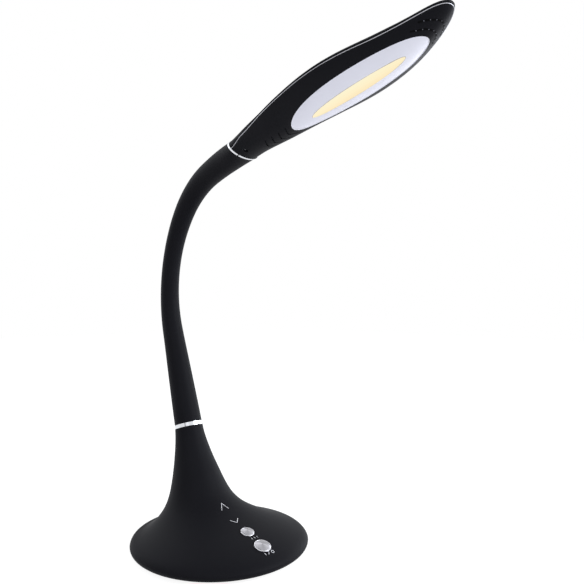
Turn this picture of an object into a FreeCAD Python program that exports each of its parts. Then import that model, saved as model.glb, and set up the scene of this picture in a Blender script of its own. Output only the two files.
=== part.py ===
import FreeCAD, Part
import math
import os

# Gooseneck desk lamp with a round trumpet foot, a bendable neck and a leaf-shaped light head.
# Millimetres. Origin on the table under the centre of the foot, +X towards the buttons and
# the head, +Z up. The lamp is symmetric about the plane y = 0.

Vector = FreeCAD.Vector
doc = FreeCAD.newDocument("GooseneckLamp")
sheet = doc.addObject("Spreadsheet::Sheet", "Sizes")
sizes = {}


def size(alias, value):
    """Write one driving size into the sheet and return it."""
    cell = "B%d" % (len(sizes) + 1)
    sheet.set("A%d" % (len(sizes) + 1), alias)
    sheet.set(cell, str(value))
    sheet.setAlias(cell, alias)
    sizes[alias] = value
    return value


# Foot: rim circle, wall and rounding of the rim
base_radius = size("base_radius", 88.0)
rim_height = size("rim_height", 7.5)
rim_round = size("rim_round", 4.9)
base_wall = size("base_wall", 2.4)
mouth_over = size("mouth_over", 0.5)

# Stem: centre, radius and backward lean of the lower ring that ends the foot
stem_x = size("stem_x", -60.85)
stem_z = size("stem_z", 110.5)
stem_radius = size("stem_radius", 14.8)
stem_lean = size("stem_lean", 19.0)
lower_ring_height = size("lower_ring_height", 3.8)
lower_ring_proud = size("lower_ring_proud", 0.25)
ring_split = size("ring_split", 0.7)
ring_split_side = size("ring_split_side", 46.0)
ring_seat_gap = size("ring_seat_gap", 0.02)

# Front and back outline of the flare between rim and ring, as control points (x, z)
flare_front = [(88.0, 10.3), (70.0, 20.7), (-0.6, 34.0), (-18.5, 67.2), (-38.7, 91.6)]
flare_back = [(-88.0, 13.0), (-79.5, 9.4), (-71.5, 25.0), (-67.6, 51.0), (-71.8, 96.7)]

# Cover, ballast, feet and screws under the foot
cover_radius = size("cover_radius", 79.6)
cover_bottom = size("cover_bottom", 2.9)
cover_thick = size("cover_thick", 2.0)
ballast_radius = size("ballast_radius", 45.0)
ballast_thick = size("ballast_thick", 7.0)
ballast_x = size("ballast_x", -6.0)
ballast_hole_radius = size("ballast_hole_radius", 8.0)
foot_pitch_radius = size("foot_pitch_radius", 72.0)
foot_angle = size("foot_angle", 34.0)
foot_radius = size("foot_radius", 6.0)
foot_recess = size("foot_recess", 0.8)
boss_pitch_radius = size("boss_pitch_radius", 58.0)
boss_angle = size("boss_angle", 45.0)
boss_radius = size("boss_radius", 3.6)
screw_radius = size("screw_radius", 1.4)
screw_head_radius = size("screw_head_radius", 2.7)
screw_head_height = size("screw_head_height", 1.5)
screw_length = size("screw_length", 9.0)
running_gap = size("running_gap", 0.3)
fit_gap = size("fit_gap", 0.1)

# Buttons: place along the front of the flare, radius, travel
mode_x = size("mode_x", 43.4)
mode_radius = size("mode_radius", 6.6)
power_x = size("power_x", 65.9)
power_radius = size("power_radius", 8.0)
button_dome = size("button_dome", 1.5)
button_edge = size("button_edge", 0.35)
button_flange = size("button_flange", 1.4)
button_flange_thick = size("button_flange_thick", 1.0)
button_travel = size("button_travel", 0.7)
button_rest_gap = size("button_rest_gap", 0.05)
flange_drop = size("flange_drop", 1.0)
button_stem_radius = size("button_stem_radius", 2.0)
dish_width = size("dish_width", 1.1)
dish_depth = size("dish_depth", 0.5)

# Control board under the buttons and its parts
board_drop = size("board_drop", 9.6)
board_length = size("board_length", 73.0)
board_width = size("board_width", 26.0)
board_thick = size("board_thick", 1.6)
board_front = size("board_front", 72.5)
board_post_radius = size("board_post_radius", 2.2)
board_post_side = size("board_post_side", 10.0)
switch_side = size("switch_side", 6.0)
switch_height = size("switch_height", 3.4)
switch_pin_radius = size("switch_pin_radius", 1.7)
switch_pin_height = size("switch_pin_height", 0.8)
touch_pad_radius = size("touch_pad_radius", 4.0)
touch_up_x = size("touch_up_x", 6.5)
lead_side = size("lead_side", 8.0)
touch_down_x = size("touch_down_x", 25.0)

# Power inlet in the back of the rim
inlet_height = size("inlet_height", 7.4)
inlet_bore_radius = size("inlet_bore_radius", 1.8)
inlet_pin_radius = size("inlet_pin_radius", 0.65)
inlet_mouth_radius = size("inlet_mouth_radius", 2.6)
inlet_length = size("inlet_length", 10.0)
inlet_width = size("inlet_width", 6.4)
inlet_body_height = size("inlet_body_height", 4.2)

# Neck centre line: a straight, three arcs and a short straight, all in the plane y = 0
neck_straight = size("neck_straight", 107.5)
neck_arc_one = size("neck_arc_one", 140.5)
neck_turn_one = size("neck_turn_one", 55.6)
neck_arc_two = size("neck_arc_two", 107.3)
neck_turn_two = size("neck_turn_two", 34.2)
neck_arc_three = size("neck_arc_three", 320.0)
neck_turn_three = size("neck_turn_three", 8.8)
neck_end_straight = size("neck_end_straight", 8.8)

# Neck sleeve radius at even steps along the centre line, and the joints in it
neck_radii = [14.6, 13.15, 11.35, 10.25, 10.15, 11.1, 12.35, 13.3]
neck_radius_step = size("neck_radius_step", 50.0)
neck_end_half_width = size("neck_end_half_width", 16.86)
neck_end_half_height = size("neck_end_half_height", 10.95)
first_joint = size("first_joint", 40.0)
joint_pitch = size("joint_pitch", 45.0)
joint_count = size("joint_count", 7)
joint_gap = size("joint_gap", 0.3)
sleeve_lip = size("sleeve_lip", 3.4)
core_radius = size("core_radius", 4.2)
core_ball_radius = size("core_ball_radius", 4.35)
core_bore_radius = size("core_bore_radius", 2.3)
core_lip = size("core_lip", 1.6)
core_gap = size("core_gap", 0.25)
swing_half_angle = size("swing_half_angle", 27.0)
cable_radius = size("cable_radius", 1.5)

# End sockets of the neck: steel bushes, nut below
socket_radius = size("socket_radius", 7.9)
socket_above = size("socket_above", 24.0)
socket_below = size("socket_below", 20.0)
socket_flange_radius = size("socket_flange_radius", 11.0)
collar_depth = size("collar_depth", 11.0)
nut_across_flats = size("nut_across_flats", 20.0)
nut_height = size("nut_height", 5.5)
head_socket_radius = size("head_socket_radius", 6.5)
head_socket_in_neck = size("head_socket_in_neck", 20.0)
head_socket_in_head = size("head_socket_in_head", 30.0)
head_socket_flange = size("head_socket_flange", 8.2)
head_socket_flange_at = size("head_socket_flange_at", 22.0)
head_socket_flange_thick = size("head_socket_flange_thick", 3.0)

# Head: length, wall and outline at even steps from the upper ring to the tip
head_length = size("head_length", 240.25)
head_wall = size("head_wall", 2.0)
head_half_widths = [16.86, 20.2, 25.5, 30.9, 35.4, 38.7, 39.8, 37.8, 33.4, 29.2, 27.2]
head_depths = [10.95, 14.2, 15.6, 14.6, 13.6, 12.9, 12.4, 11.9, 11.4, 11.2, 11.2]
head_rises = [10.95, 8.6, 7.6, 8.6, 9.6, 10.1, 10.2, 9.8, 9.0, 8.0, 7.3]
head_fullness = size("head_fullness", 0.5)
head_ease = size("head_ease", 60.0)
head_lift = size("head_lift", 4.3)
head_lift_by = size("head_lift_by", 24.0)
nose_lift = size("nose_lift", 9.7)
nose_share = size("nose_share", 0.25)
parting_gap = size("parting_gap", 0.15)
upper_ring_tilt = size("upper_ring_tilt", 26.2)
upper_ring_width = size("upper_ring_width", 2.0)
upper_ring_proud = size("upper_ring_proud", 0.3)
upper_ring_wall = size("upper_ring_wall", 3.0)

# Light panel, window, boards and screws in the head
panel_centre = size("panel_centre", 145.6)
panel_half_length = size("panel_half_length", 71.2)
panel_half_width = size("panel_half_width", 23.5)
panel_recess = size("panel_recess", 0.5)
panel_thick = size("panel_thick", 1.8)
window_centre = size("window_centre", 147.2)
window_half_length = size("window_half_length", 49.3)
window_half_width = size("window_half_width", 7.7)
window_thick = size("window_thick", 1.6)
groove_width = size("groove_width", 1.5)
groove_depth = size("groove_depth", 0.9)
groove_reach = size("groove_reach", 5.6)
groove_side = size("groove_side", 8.8)
groove_first = size("groove_first", 36.8)
groove_pitch = size("groove_pitch", 9.4)
head_screw_at = size("head_screw_at", 15.3)
head_screw_side = size("head_screw_side", 8.9)
dimple_radius = size("dimple_radius", 2.1)
dimple_floor = size("dimple_floor", 5.6)
head_screw_head_height = size("head_screw_head_height", 1.3)
head_screw_reach = size("head_screw_reach", 4.5)
upper_post_wall = size("upper_post_wall", 0.5)
lower_post_wall = size("lower_post_wall", 0.8)
heat_plate_centre = size("heat_plate_centre", 140.0)
heat_plate_half_length = size("heat_plate_half_length", 62.0)
heat_plate_half_width = size("heat_plate_half_width", 27.0)
heat_plate_thick = size("heat_plate_thick", 1.2)
heat_plate_level = size("heat_plate_level", 1.5)
plate_post_at = size("plate_post_at", 30.0)
plate_post_side = size("plate_post_side", 25.0)
plate_post_radius = size("plate_post_radius", 2.6)
led_board_half_length = size("led_board_half_length", 52.0)
led_board_half_width = size("led_board_half_width", 9.0)
led_board_thick = size("led_board_thick", 1.0)
led_pitch = size("led_pitch", 8.0)
led_row_side = size("led_row_side", 3.6)
led_length = size("led_length", 3.5)
led_width = size("led_width", 2.8)
led_height = size("led_height", 0.8)
doc.recompute()


# Sides of the blocks and depth of the prisms that trim the head: past every part of it
beyond = 90.0
deep = 40.0


# Frames on the object
def turn(angle):
    """Rotation about +Y by an angle in degrees: +Z leans towards +X."""
    return FreeCAD.Rotation(Vector(0, 1, 0), angle)


def frame(x, z, heading):
    """Placement whose Z axis points at the heading, measured from +Z towards +X."""
    return FreeCAD.Placement(Vector(x, 0, z), turn(heading))


def shifted(place, x=0.0, y=0.0, z=0.0):
    """A placement moved along its own axes."""
    return place.multiply(FreeCAD.Placement(Vector(x, y, z), FreeCAD.Rotation()))


def neck_frame(along):
    """Frame on the neck centre line at a distance along it from the lower ring's centre."""
    x, z, heading = stem_x, stem_z, -stem_lean
    left = along
    pieces = [
        (neck_straight, 0.0),
        (neck_arc_one * math.radians(neck_turn_one), neck_turn_one),
        (neck_arc_two * math.radians(neck_turn_two), neck_turn_two),
        (neck_arc_three * math.radians(neck_turn_three), neck_turn_three),
    ]
    for length, whole_turn in pieces:
        run = min(left, length)
        turned = whole_turn * run / length
        middle = math.radians(heading + turned / 2)
        chord = run
        if turned:
            half = math.radians(turned) / 2
            chord = run * math.sin(half) / half
        x += chord * math.sin(middle)
        z += chord * math.cos(middle)
        heading += turned
        left -= run
        if left <= 0:
            break
    x += max(left, 0) * math.sin(math.radians(heading))
    z += max(left, 0) * math.cos(math.radians(heading))
    return frame(x, z, heading)


arc_lengths = (
    neck_arc_one * math.radians(neck_turn_one)
    + neck_arc_two * math.radians(neck_turn_two)
    + neck_arc_three * math.radians(neck_turn_three)
)
neck_length = neck_straight + arc_lengths + neck_end_straight
stem = neck_frame(0.0)
neck_end = neck_frame(neck_length)
joints = [first_joint + joint_pitch * k for k in range(int(joint_count))]


def stations(values, share):
    """Smooth value at a share 0 to 1 of a list of evenly spaced values (Catmull-Rom)."""
    place = min(max(share, 0.0), 1.0) * (len(values) - 1)
    k = min(int(place), len(values) - 2)
    f = place - k
    a = values[max(k - 1, 0)]
    b = values[k]
    c = values[k + 1]
    d = values[min(k + 2, len(values) - 1)]
    straight = b + (c - a) * f / 2
    bend = (2 * a - 5 * b + 4 * c - d) * f * f / 2
    swing = (3 * b - a - 3 * c + d) * f * f * f / 2
    return straight + bend + swing


def sleeve_radius(along):
    """Outer radius of the round part of the neck."""
    return stations(neck_radii, along / (neck_radius_step * (len(neck_radii) - 1)))


# Head frame: along the head from the upper ring, across it, and up out of its top
head_across = Vector(0, 1, 0)
head_along = neck_end.Rotation.multVec(Vector(0, 0, 1))
head_up = neck_end.Rotation.multVec(Vector(-1, 0, 0))


def head_point(along, across, up):
    """Point of the head frame in the lamp's frame."""
    return neck_end.Base + head_along * along + head_across * across + head_up * up


def slanted_plane(offset):
    """Frame of the upper ring: its plane leans back from square to the head by the ring tilt."""
    tilted = neck_end.multiply(FreeCAD.Placement(Vector(), turn(-upper_ring_tilt)))
    return shifted(tilted, z=offset)


def parting_level(along):
    """Height of the seam between the head shells: it lifts off the ring and sweeps up at the nose."""
    start = min(max(along / head_lift_by, 0.0), 1.0)
    nose = max((along / head_length - 1 + nose_share) / nose_share, 0.0)
    return head_lift * start * start * (3 - 2 * start) + nose_lift * nose * nose


def tip_taper(along, power):
    """Rounds an outline to nothing at the tip."""
    return math.sqrt(max(1 - max(along / head_length, 0.0) ** power, 0.0))


def half_width(along):
    return stations(head_half_widths, along / head_length) * tip_taper(along, 6)


def depth_below(along):
    return stations(head_depths, along / head_length) * tip_taper(along, 8)


def rise_above(along):
    return stations(head_rises, along / head_length) * tip_taper(along, 8)


# Builders of document objects
def bind(item, **expressions):
    """Tie properties of an object to cells of the sheet."""
    for name, expression in expressions.items():
        item.setExpression(name.replace("__", "."), expression)


def primitive(kind, name, place, **expressions):
    item = doc.addObject("Part::" + kind, name)
    item.Placement = place
    bind(item, **expressions)
    return item


def fixed(name, shape):
    """A piece whose outline follows a formula of the sizes."""
    item = doc.addObject("Part::Feature", name)
    item.Shape = shape
    return item


def joined(kind, name, shapes):
    item = doc.addObject("Part::" + kind, name)
    item.Shapes = shapes
    return item


def cut(name, base, tool):
    item = doc.addObject("Part::Cut", name)
    item.Base = base
    item.Tool = tool
    return item


def fuse(name, *shapes):
    return joined("MultiFuse", name, list(shapes))


def common(name, *shapes):
    return joined("MultiCommon", name, list(shapes))


def cylinder(name, place, radius, height):
    return primitive("Cylinder", name, place, Radius=radius, Height=height)


def loft(name, sections):
    item = doc.addObject("Part::Loft", name)
    item.Sections = sections
    item.Solid = True
    item.Ruled = False
    return item


def ring_section(name, place, radius):
    """Circle on the plane of a frame, its seam on the far side of the lamp."""
    item = doc.addObject("Part::Circle", name)
    item.Radius = radius
    item.Placement = place.multiply(FreeCAD.Placement(Vector(), FreeCAD.Rotation(Vector(0, 0, 1), 90)))
    return item


def oval_section(name, place, across, thick):
    item = doc.addObject("Part::Ellipse", name)
    item.MajorRadius = across
    item.MinorRadius = thick
    item.Placement = place.multiply(FreeCAD.Placement(Vector(), FreeCAD.Rotation(Vector(0, 0, 1), 90)))
    return item


def lathe(label, place, corners):
    """Body turned about its own Z axis. Corners are (radius, height) expressions of the sheet."""
    body = doc.addObject("PartDesign::Body", label)
    sketch = body.newObject("Sketcher::SketchObject", label + "_profile")
    plane = [o for o in body.Origin.OriginFeatures if o.Role == "XZ_Plane"][0]
    sketch.AttachmentSupport = [(plane, "")]
    sketch.MapMode = "FlatFace"
    values = [(sheet_value(r), sheet_value(z)) for r, z in corners]
    count = len(corners)
    for i in range(count):
        a = values[i]
        b = values[(i + 1) % count]
        sketch.addGeometry(Part.LineSegment(Vector(a[0], a[1], 0), Vector(b[0], b[1], 0)), False)
    import Sketcher
    for i in range(count):
        sketch.addConstraint(Sketcher.Constraint("Coincident", i, 2, (i + 1) % count, 1))
    for i, (radius, height) in enumerate(corners):
        for way, axis, expression, value in (
            ("DistanceX", -2, radius, values[i][0]),
            ("DistanceY", -1, height, values[i][1]),
        ):
            if value == 0:
                sketch.addConstraint(Sketcher.Constraint("PointOnObject", i, 1, axis))
                continue
            index = sketch.addConstraint(Sketcher.Constraint(way, -1, 1, i, 1, value))
            sketch.setExpression("Constraints[%d]" % index, expression)
    turned = body.newObject("PartDesign::Revolution", label + "_turned")
    turned.Profile = sketch
    turned.ReferenceAxis = (sketch, ["V_Axis"])
    turned.Angle = 360.0
    body.Placement = place
    return body


def sheet_value(expression):
    """Value of a small sum or difference of sheet cells and numbers."""
    total = 0.0
    sign = 1.0
    for word in expression.replace("+", " + ").replace("-", " - ").split():
        if word == "+":
            sign = 1.0
        elif word == "-":
            sign = -1.0
        else:
            factor = 1.0
            for part in word.split("*"):
                factor *= sizes[part[6:]] if part.startswith("Sizes.") else float(part)
            total += sign * factor
            sign = 1.0
    return total


def tube_path(points, radius):
    """Round tube along straight runs joined by tangent arcs, as large as the runs allow."""
    edges = []
    start = points[0]
    for i in range(1, len(points) - 1):
        before = points[i] - points[i - 1]
        after = points[i + 1] - points[i]
        turned = before.getAngle(after)
        back = 0.45 * min(before.Length, after.Length)
        first = points[i] - before * (back / before.Length)
        last = points[i] + after * (back / after.Length)
        inward = (last - points[i]).normalize() + (first - points[i]).normalize()
        bow = back / math.tan(turned / 2) * (1 / math.cos(turned / 2) - 1)
        edges.append(Part.LineSegment(start, first).toShape())
        edges.append(Part.Arc(first, points[i] + inward.normalize() * bow, last).toShape())
        start = last
    edges.append(Part.LineSegment(start, points[-1]).toShape())
    wire = Part.Wire(edges)
    direction = points[1] - points[0]
    circle = Part.Wire([Part.Circle(points[0], direction, radius).toShape()])
    return wire.makePipeShell([circle], True, False)


pieces = []


def piece(item, label):
    """Give the finished sub-part the label that names it."""
    item.Label = label
    pieces.append(item)
    return item


# Foot shell
def flare_curve(first, controls, last):
    poles = [first] + [Vector(x, 0, z) for x, z in controls] + [last]
    curve = Part.BSplineCurve()
    curve.buildFromPoles(poles, False, 3)
    return curve


stem_out = stem.Rotation.multVec(Vector(1, 0, 0)) * stem_radius
front_curve = flare_curve(Vector(base_radius, 0, rim_height), flare_front, stem.Base + stem_out)
back_curve = flare_curve(Vector(-base_radius, 0, rim_height), flare_back, stem.Base - stem_out)
flare_steps = 12


def inside(curve, share, side, depth):
    """Point a depth inside the flare's front (side 1) or back (side -1) outline."""
    here = curve.value(share)
    ahead = curve.value(min(share + 0.001, 1.0))
    behind = curve.value(max(share - 0.001, 0.0))
    run = (ahead - behind).normalize()
    return here + Vector(-run.z, 0, run.x) * depth * side


def flare_loft(name, depth):
    """Trumpet of circles whose diameters join the front and back outlines."""
    rings = []
    for k in range(flare_steps + 1):
        share = k / flare_steps
        front = inside(front_curve, share, 1, depth)
        back = inside(back_curve, share, -1, depth)
        middle = (front + back) * 0.5
        reach = front - back
        heading = -math.degrees(math.atan2(reach.z, reach.x))
        rings.append(
            ring_section("%s_ring_%d" % (name, k), frame(middle.x, middle.z, heading), reach.Length / 2)
        )
    if depth:
        rings.append(ring_section(name + "_end", shifted(stem, z=lower_ring_height), stem_radius - depth))
    return loft(name, rings)


size("rim_bottom", rim_height - rim_round)
size("mouth_radius", cover_radius + running_gap)
doc.recompute()
rim_blank = cylinder("rim_blank", frame(0, sizes["rim_bottom"], 0), "Sizes.base_radius", "Sizes.rim_round")
doc.recompute()
rim = doc.addObject("Part::Fillet", "rim")
rim.Base = rim_blank
low_edges = [i + 1 for i, e in enumerate(rim_blank.Shape.Edges) if e.BoundBox.ZMax < rim_height - 1]
rim.Edges = [(i, rim_round - 0.01, rim_round - 0.01) for i in low_edges]
foot_solid = fuse("foot_solid", rim, flare_loft("flare", 0.0))
foot_mouth = cylinder("foot_mouth", frame(0, 0, 0), "Sizes.mouth_radius", "Sizes.rim_height+Sizes.mouth_over")
foot_hollow = fuse("foot_hollow", flare_loft("flare_inner", base_wall), foot_mouth)
foot_wall = cut("foot_wall", foot_solid, foot_hollow)


def front_frame(x):
    """Frame on the front of the flare at a given x, its Z axis square to the surface."""
    low, high = 0.0, 1.0
    for _ in range(40):
        middle = (low + high) / 2
        if front_curve.value(middle).x > x:
            low = middle
        else:
            high = middle
    here = front_curve.value(low)
    ahead = front_curve.value(low - 0.002)
    slope = ahead - here
    return frame(here.x, here.z, math.degrees(math.atan2(-slope.z, slope.x)))


mode_frame = front_frame(mode_x)
power_frame = front_frame(power_x)
board_tilt = math.degrees(mode_frame.Rotation.Angle + power_frame.Rotation.Angle) / 2
board_frame = frame(mode_frame.Base.x, mode_frame.Base.z, board_tilt)
board_frame = shifted(board_frame, z=-board_drop)


def on_board(x):
    """Frame on the board's upper face under a place with the given x."""
    along = (x - board_frame.Base.x) / math.cos(math.radians(board_tilt))
    return shifted(board_frame, x=along)


def around(radius, angle, height):
    """Upright frame on a circle about the foot's centre."""
    a = math.radians(angle)
    return FreeCAD.Placement(Vector(radius * math.cos(a), radius * math.sin(a), height), FreeCAD.Rotation())


corner_signs = [(1, 1), (1, -1), (-1, 1), (-1, -1)]


def spread(angle, sign_x, sign_y):
    """Angle of one of four places mirrored about both axes."""
    across = angle if sign_x > 0 else 180 - angle
    return across * sign_y


cover_top = cover_bottom + cover_thick
boss_frames = [around(boss_pitch_radius, spread(boss_angle, *s), cover_top + fit_gap) for s in corner_signs]
foot_frames = [around(foot_pitch_radius, spread(foot_angle, *s), 0.0) for s in corner_signs]
bosses = [
    cylinder("cover_boss_%d" % k, place, "Sizes.boss_radius", "Sizes.stem_z")
    for k, place in enumerate(boss_frames)
]
board_posts = [
    cylinder(
        "board_post_%d_%d" % (k, side),
        shifted(on_board(x), y=side * board_post_side, z=fit_gap),
        "Sizes.board_post_radius",
        "Sizes.board_drop*2",
    )
    for k, x in enumerate((35.0, 57.0))
    for side in (-1, 1)
]
collar_place = shifted(stem, z=-lower_ring_height / 2 - collar_depth)
collar = cylinder("collar", collar_place, "Sizes.stem_radius*2", "Sizes.collar_depth")
wall_core = fuse("wall_core", flare_loft("wall_middle", base_wall / 2), foot_mouth)
inner_parts = common("foot_inner_parts", fuse("foot_posts", *bosses, *board_posts, collar), wall_core)
foot_blank = fuse("foot_blank", foot_wall, inner_parts)
stem_trim = cylinder(
    "stem_trim",
    shifted(stem, z=-lower_ring_height / 2),
    "Sizes.stem_radius*2",
    "Sizes.stem_radius",
)
collar_bore = cylinder(
    "collar_bore",
    shifted(collar_place, z=-1),
    "Sizes.socket_radius+Sizes.fit_gap",
    "Sizes.stem_radius*2",
)
boss_holes = [
    cylinder("boss_hole_%d" % k, place, "Sizes.screw_radius", "Sizes.screw_length")
    for k, place in enumerate(boss_frames)
]


def button_cutters(name, place, radius):
    hole = cylinder(
        name + "_hole",
        shifted(place, z=-base_wall * 3),
        radius + "+Sizes.running_gap",
        "Sizes.base_wall*5",
    )
    dish = cylinder(
        name + "_dish",
        shifted(place, z=-dish_depth),
        radius + "+Sizes.dish_width",
        "Sizes.base_wall*2",
    )
    return [hole, dish]


cutters = button_cutters("mode", mode_frame, "Sizes.mode_radius")
cutters += button_cutters("power", power_frame, "Sizes.power_radius")
inlet_start = fit_gap - sizes["mouth_radius"]
inlet_hole = cylinder(
    "inlet_hole",
    frame(-base_radius - 1, inlet_height, 90),
    "Sizes.inlet_mouth_radius",
    "Sizes.base_radius-Sizes.mouth_radius+2",
)
foot_tools = fuse("foot_tools", stem_trim, collar_bore, inlet_hole, *boss_holes, *cutters)
base_shell = piece(cut("base_shell", foot_blank, foot_tools), "base_shell")


# Cover with foot recesses and screw holes, ballast, feet, screws
def cover_and_fixings():
    plate = cylinder("cover_plate", frame(0, cover_bottom, 0), "Sizes.cover_radius", "Sizes.cover_thick")
    tools = []
    for k, place in enumerate(boss_frames):
        under = around(boss_pitch_radius, spread(boss_angle, *corner_signs[k]), cover_bottom - 1)
        tools.append(
            cylinder("cover_hole_%d" % k, under, "Sizes.screw_radius+Sizes.fit_gap", "Sizes.cover_thick+2")
        )
        sink = shifted(under, z=0.0)
        tools.append(
            cylinder(
                "cover_sink_%d" % k,
                sink,
                "Sizes.screw_head_radius+Sizes.fit_gap",
                "Sizes.screw_head_height+1",
            )
        )
    for k, place in enumerate(foot_frames):
        tools.append(
            cylinder(
                "foot_recess_%d" % k,
                place,
                "Sizes.foot_radius+Sizes.fit_gap",
                "Sizes.cover_bottom+Sizes.foot_recess",
            )
        )
    piece(cut("base_cover", plate, fuse("cover_tools", *tools)), "base_cover")

    slab = cylinder(
        "ballast_slab",
        frame(ballast_x, cover_top + fit_gap, 0),
        "Sizes.ballast_radius",
        "Sizes.ballast_thick",
    )
    hole = cylinder(
        "ballast_hole",
        frame(ballast_x, cover_top, 0),
        "Sizes.ballast_hole_radius",
        "Sizes.ballast_thick*2",
    )
    drilled = cut("ballast_drilled", slab, hole)
    piece(drilled, "ballast_plate")

    pads = []
    for k, place in enumerate(foot_frames):
        pad = cylinder(
            "foot_pad_%d" % k,
            place,
            "Sizes.foot_radius",
            "Sizes.cover_bottom+Sizes.foot_recess-Sizes.fit_gap",
        )
        pads.append(pad)
    feet = doc.addObject("Part::Compound", "feet")
    feet.Links = pads
    piece(feet, "rubber_feet")

    screws = []
    for k, place in enumerate(boss_frames):
        under = around(boss_pitch_radius, spread(boss_angle, *corner_signs[k]), cover_bottom)
        head = cylinder(
            "cover_screw_head_%d" % k,
            under,
            "Sizes.screw_head_radius",
            "Sizes.screw_head_height-Sizes.fit_gap",
        )
        shank = cylinder(
            "cover_screw_shank_%d" % k,
            under,
            "Sizes.screw_radius-Sizes.fit_gap",
            "Sizes.screw_length",
        )
        screws.append(fuse("cover_screw_%d" % k, head, shank))
    group = doc.addObject("Part::Compound", "cover_screw_group")
    group.Links = screws
    piece(group, "cover_screws")


cover_and_fixings()


# Buttons: domed cap, flange behind the shell, short plunger above its switch
def button(label, place, radius):
    reach = board_drop - switch_height - switch_pin_height - button_travel - button_rest_gap
    base = shifted(place, z=-reach)
    name = "Sizes." + radius
    size(label + "_flange_low", round(reach - base_wall - flange_drop - button_flange_thick, 3))
    high = size(label + "_rim_level", round(reach + dish_depth, 3))
    doc.recompute()
    corners = [
        ("0", "0"),
        ("Sizes.button_stem_radius", "0"),
        ("Sizes.button_stem_radius", "Sizes.%s_flange_low" % label),
        (name + "+Sizes.button_flange", "Sizes.%s_flange_low" % label),
        (name + "+Sizes.button_flange", "Sizes.%s_flange_low+Sizes.button_flange_thick" % label),
        (name, "Sizes.%s_flange_low+Sizes.button_flange_thick" % label),
        (name, "Sizes.%s_rim_level-Sizes.button_edge" % label),
        (name + "-Sizes.button_edge", "Sizes.%s_rim_level" % label),
        ("0", "Sizes.%s_rim_level" % label),
    ]
    cap = lathe(label + "_cap", base, corners)
    ball_radius = ((sizes[radius] - button_edge) ** 2 + button_dome ** 2) / (2 * button_dome)
    centre = shifted(base, z=high + button_dome - ball_radius)
    ball = doc.addObject("Part::Sphere", label + "_dome_ball")
    ball.Radius = ball_radius
    ball.Placement = centre
    keep = cylinder(
        label + "_dome_keep",
        shifted(base, z=high - 0.3),
        name + "-Sizes.button_edge",
        "Sizes.button_dome+0.6",
    )
    dome = common(label + "_dome", ball, keep)
    piece(fuse(label + "_whole", cap, dome), label)


button("mode_button", mode_frame, "mode_radius")
button("power_button", power_frame, "power_radius")


# Control board, switches, touch pads, inlet
def control_parts():
    start = (board_front - board_frame.Base.x) / math.cos(math.radians(board_tilt)) - board_length
    corner = shifted(board_frame, x=start, y=-board_width / 2, z=-board_thick)
    board = primitive(
        "Box",
        "board_plate",
        corner,
        Length="Sizes.board_length",
        Width="Sizes.board_width",
        Height="Sizes.board_thick",
    )
    piece(board, "control_board")
    switches = []
    for name, x_place, place in (("mode", mode_x, mode_frame), ("power", power_x, power_frame)):
        foot = shifted(place, z=-board_drop)
        seat = on_board(foot.Base.x)
        body = primitive(
            "Box",
            name + "_switch_body",
            shifted(seat, x=-switch_side / 2, y=-switch_side / 2),
            Length="Sizes.switch_side",
            Width="Sizes.switch_side",
            Height="Sizes.switch_height",
        )
        pin = cylinder(
            name + "_switch_pin",
            seat,
            "Sizes.switch_pin_radius",
            "Sizes.switch_height+Sizes.switch_pin_height",
        )
        switches.append(fuse(name + "_switch", body, pin))
    group = doc.addObject("Part::Compound", "switch_group")
    group.Links = switches
    piece(group, "tact_switches")

    pads = [
        cylinder("touch_pad_%d" % k, shifted(on_board(x)), "Sizes.touch_pad_radius", "Sizes.board_drop*2")
        for k, x in enumerate((touch_up_x, touch_down_x))
    ]
    pad_group = doc.addObject("Part::Compound", "touch_pad_group")
    pad_group.Links = [common("touch_pad_trim_%d" % k, pad, foot_hollow) for k, pad in enumerate(pads)]
    piece(pad_group, "touch_pads")

    body = primitive(
        "Box",
        "inlet_body",
        FreeCAD.Placement(
            Vector(inlet_start, -inlet_width / 2, inlet_height - inlet_body_height / 2),
            FreeCAD.Rotation(),
        ),
        Length="Sizes.inlet_length",
        Width="Sizes.inlet_width",
        Height="Sizes.inlet_body_height",
    )
    bore = cylinder(
        "inlet_bore",
        frame(inlet_start - 1, inlet_height, 90),
        "Sizes.inlet_bore_radius",
        "Sizes.inlet_length-1",
    )
    pin = cylinder(
        "inlet_pin",
        frame(inlet_start + 1, inlet_height, 90),
        "Sizes.inlet_pin_radius",
        "Sizes.inlet_length-2",
    )
    piece(fuse("inlet", cut("inlet_socket", body, bore), pin), "power_inlet")


control_parts()


# Lower ring, neck socket and nut
def split_ring(label, blank, place, reach):
    """Take a hairline slot out of a ring, on the side between the front and the near side."""
    blade = primitive("Box", label + "_blade", place, Height="Sizes.lower_ring_height*6")
    blade.Length = reach
    bind(blade, Width="Sizes.ring_split")
    return piece(cut(label + "_split", blank, blade), label)


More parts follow.
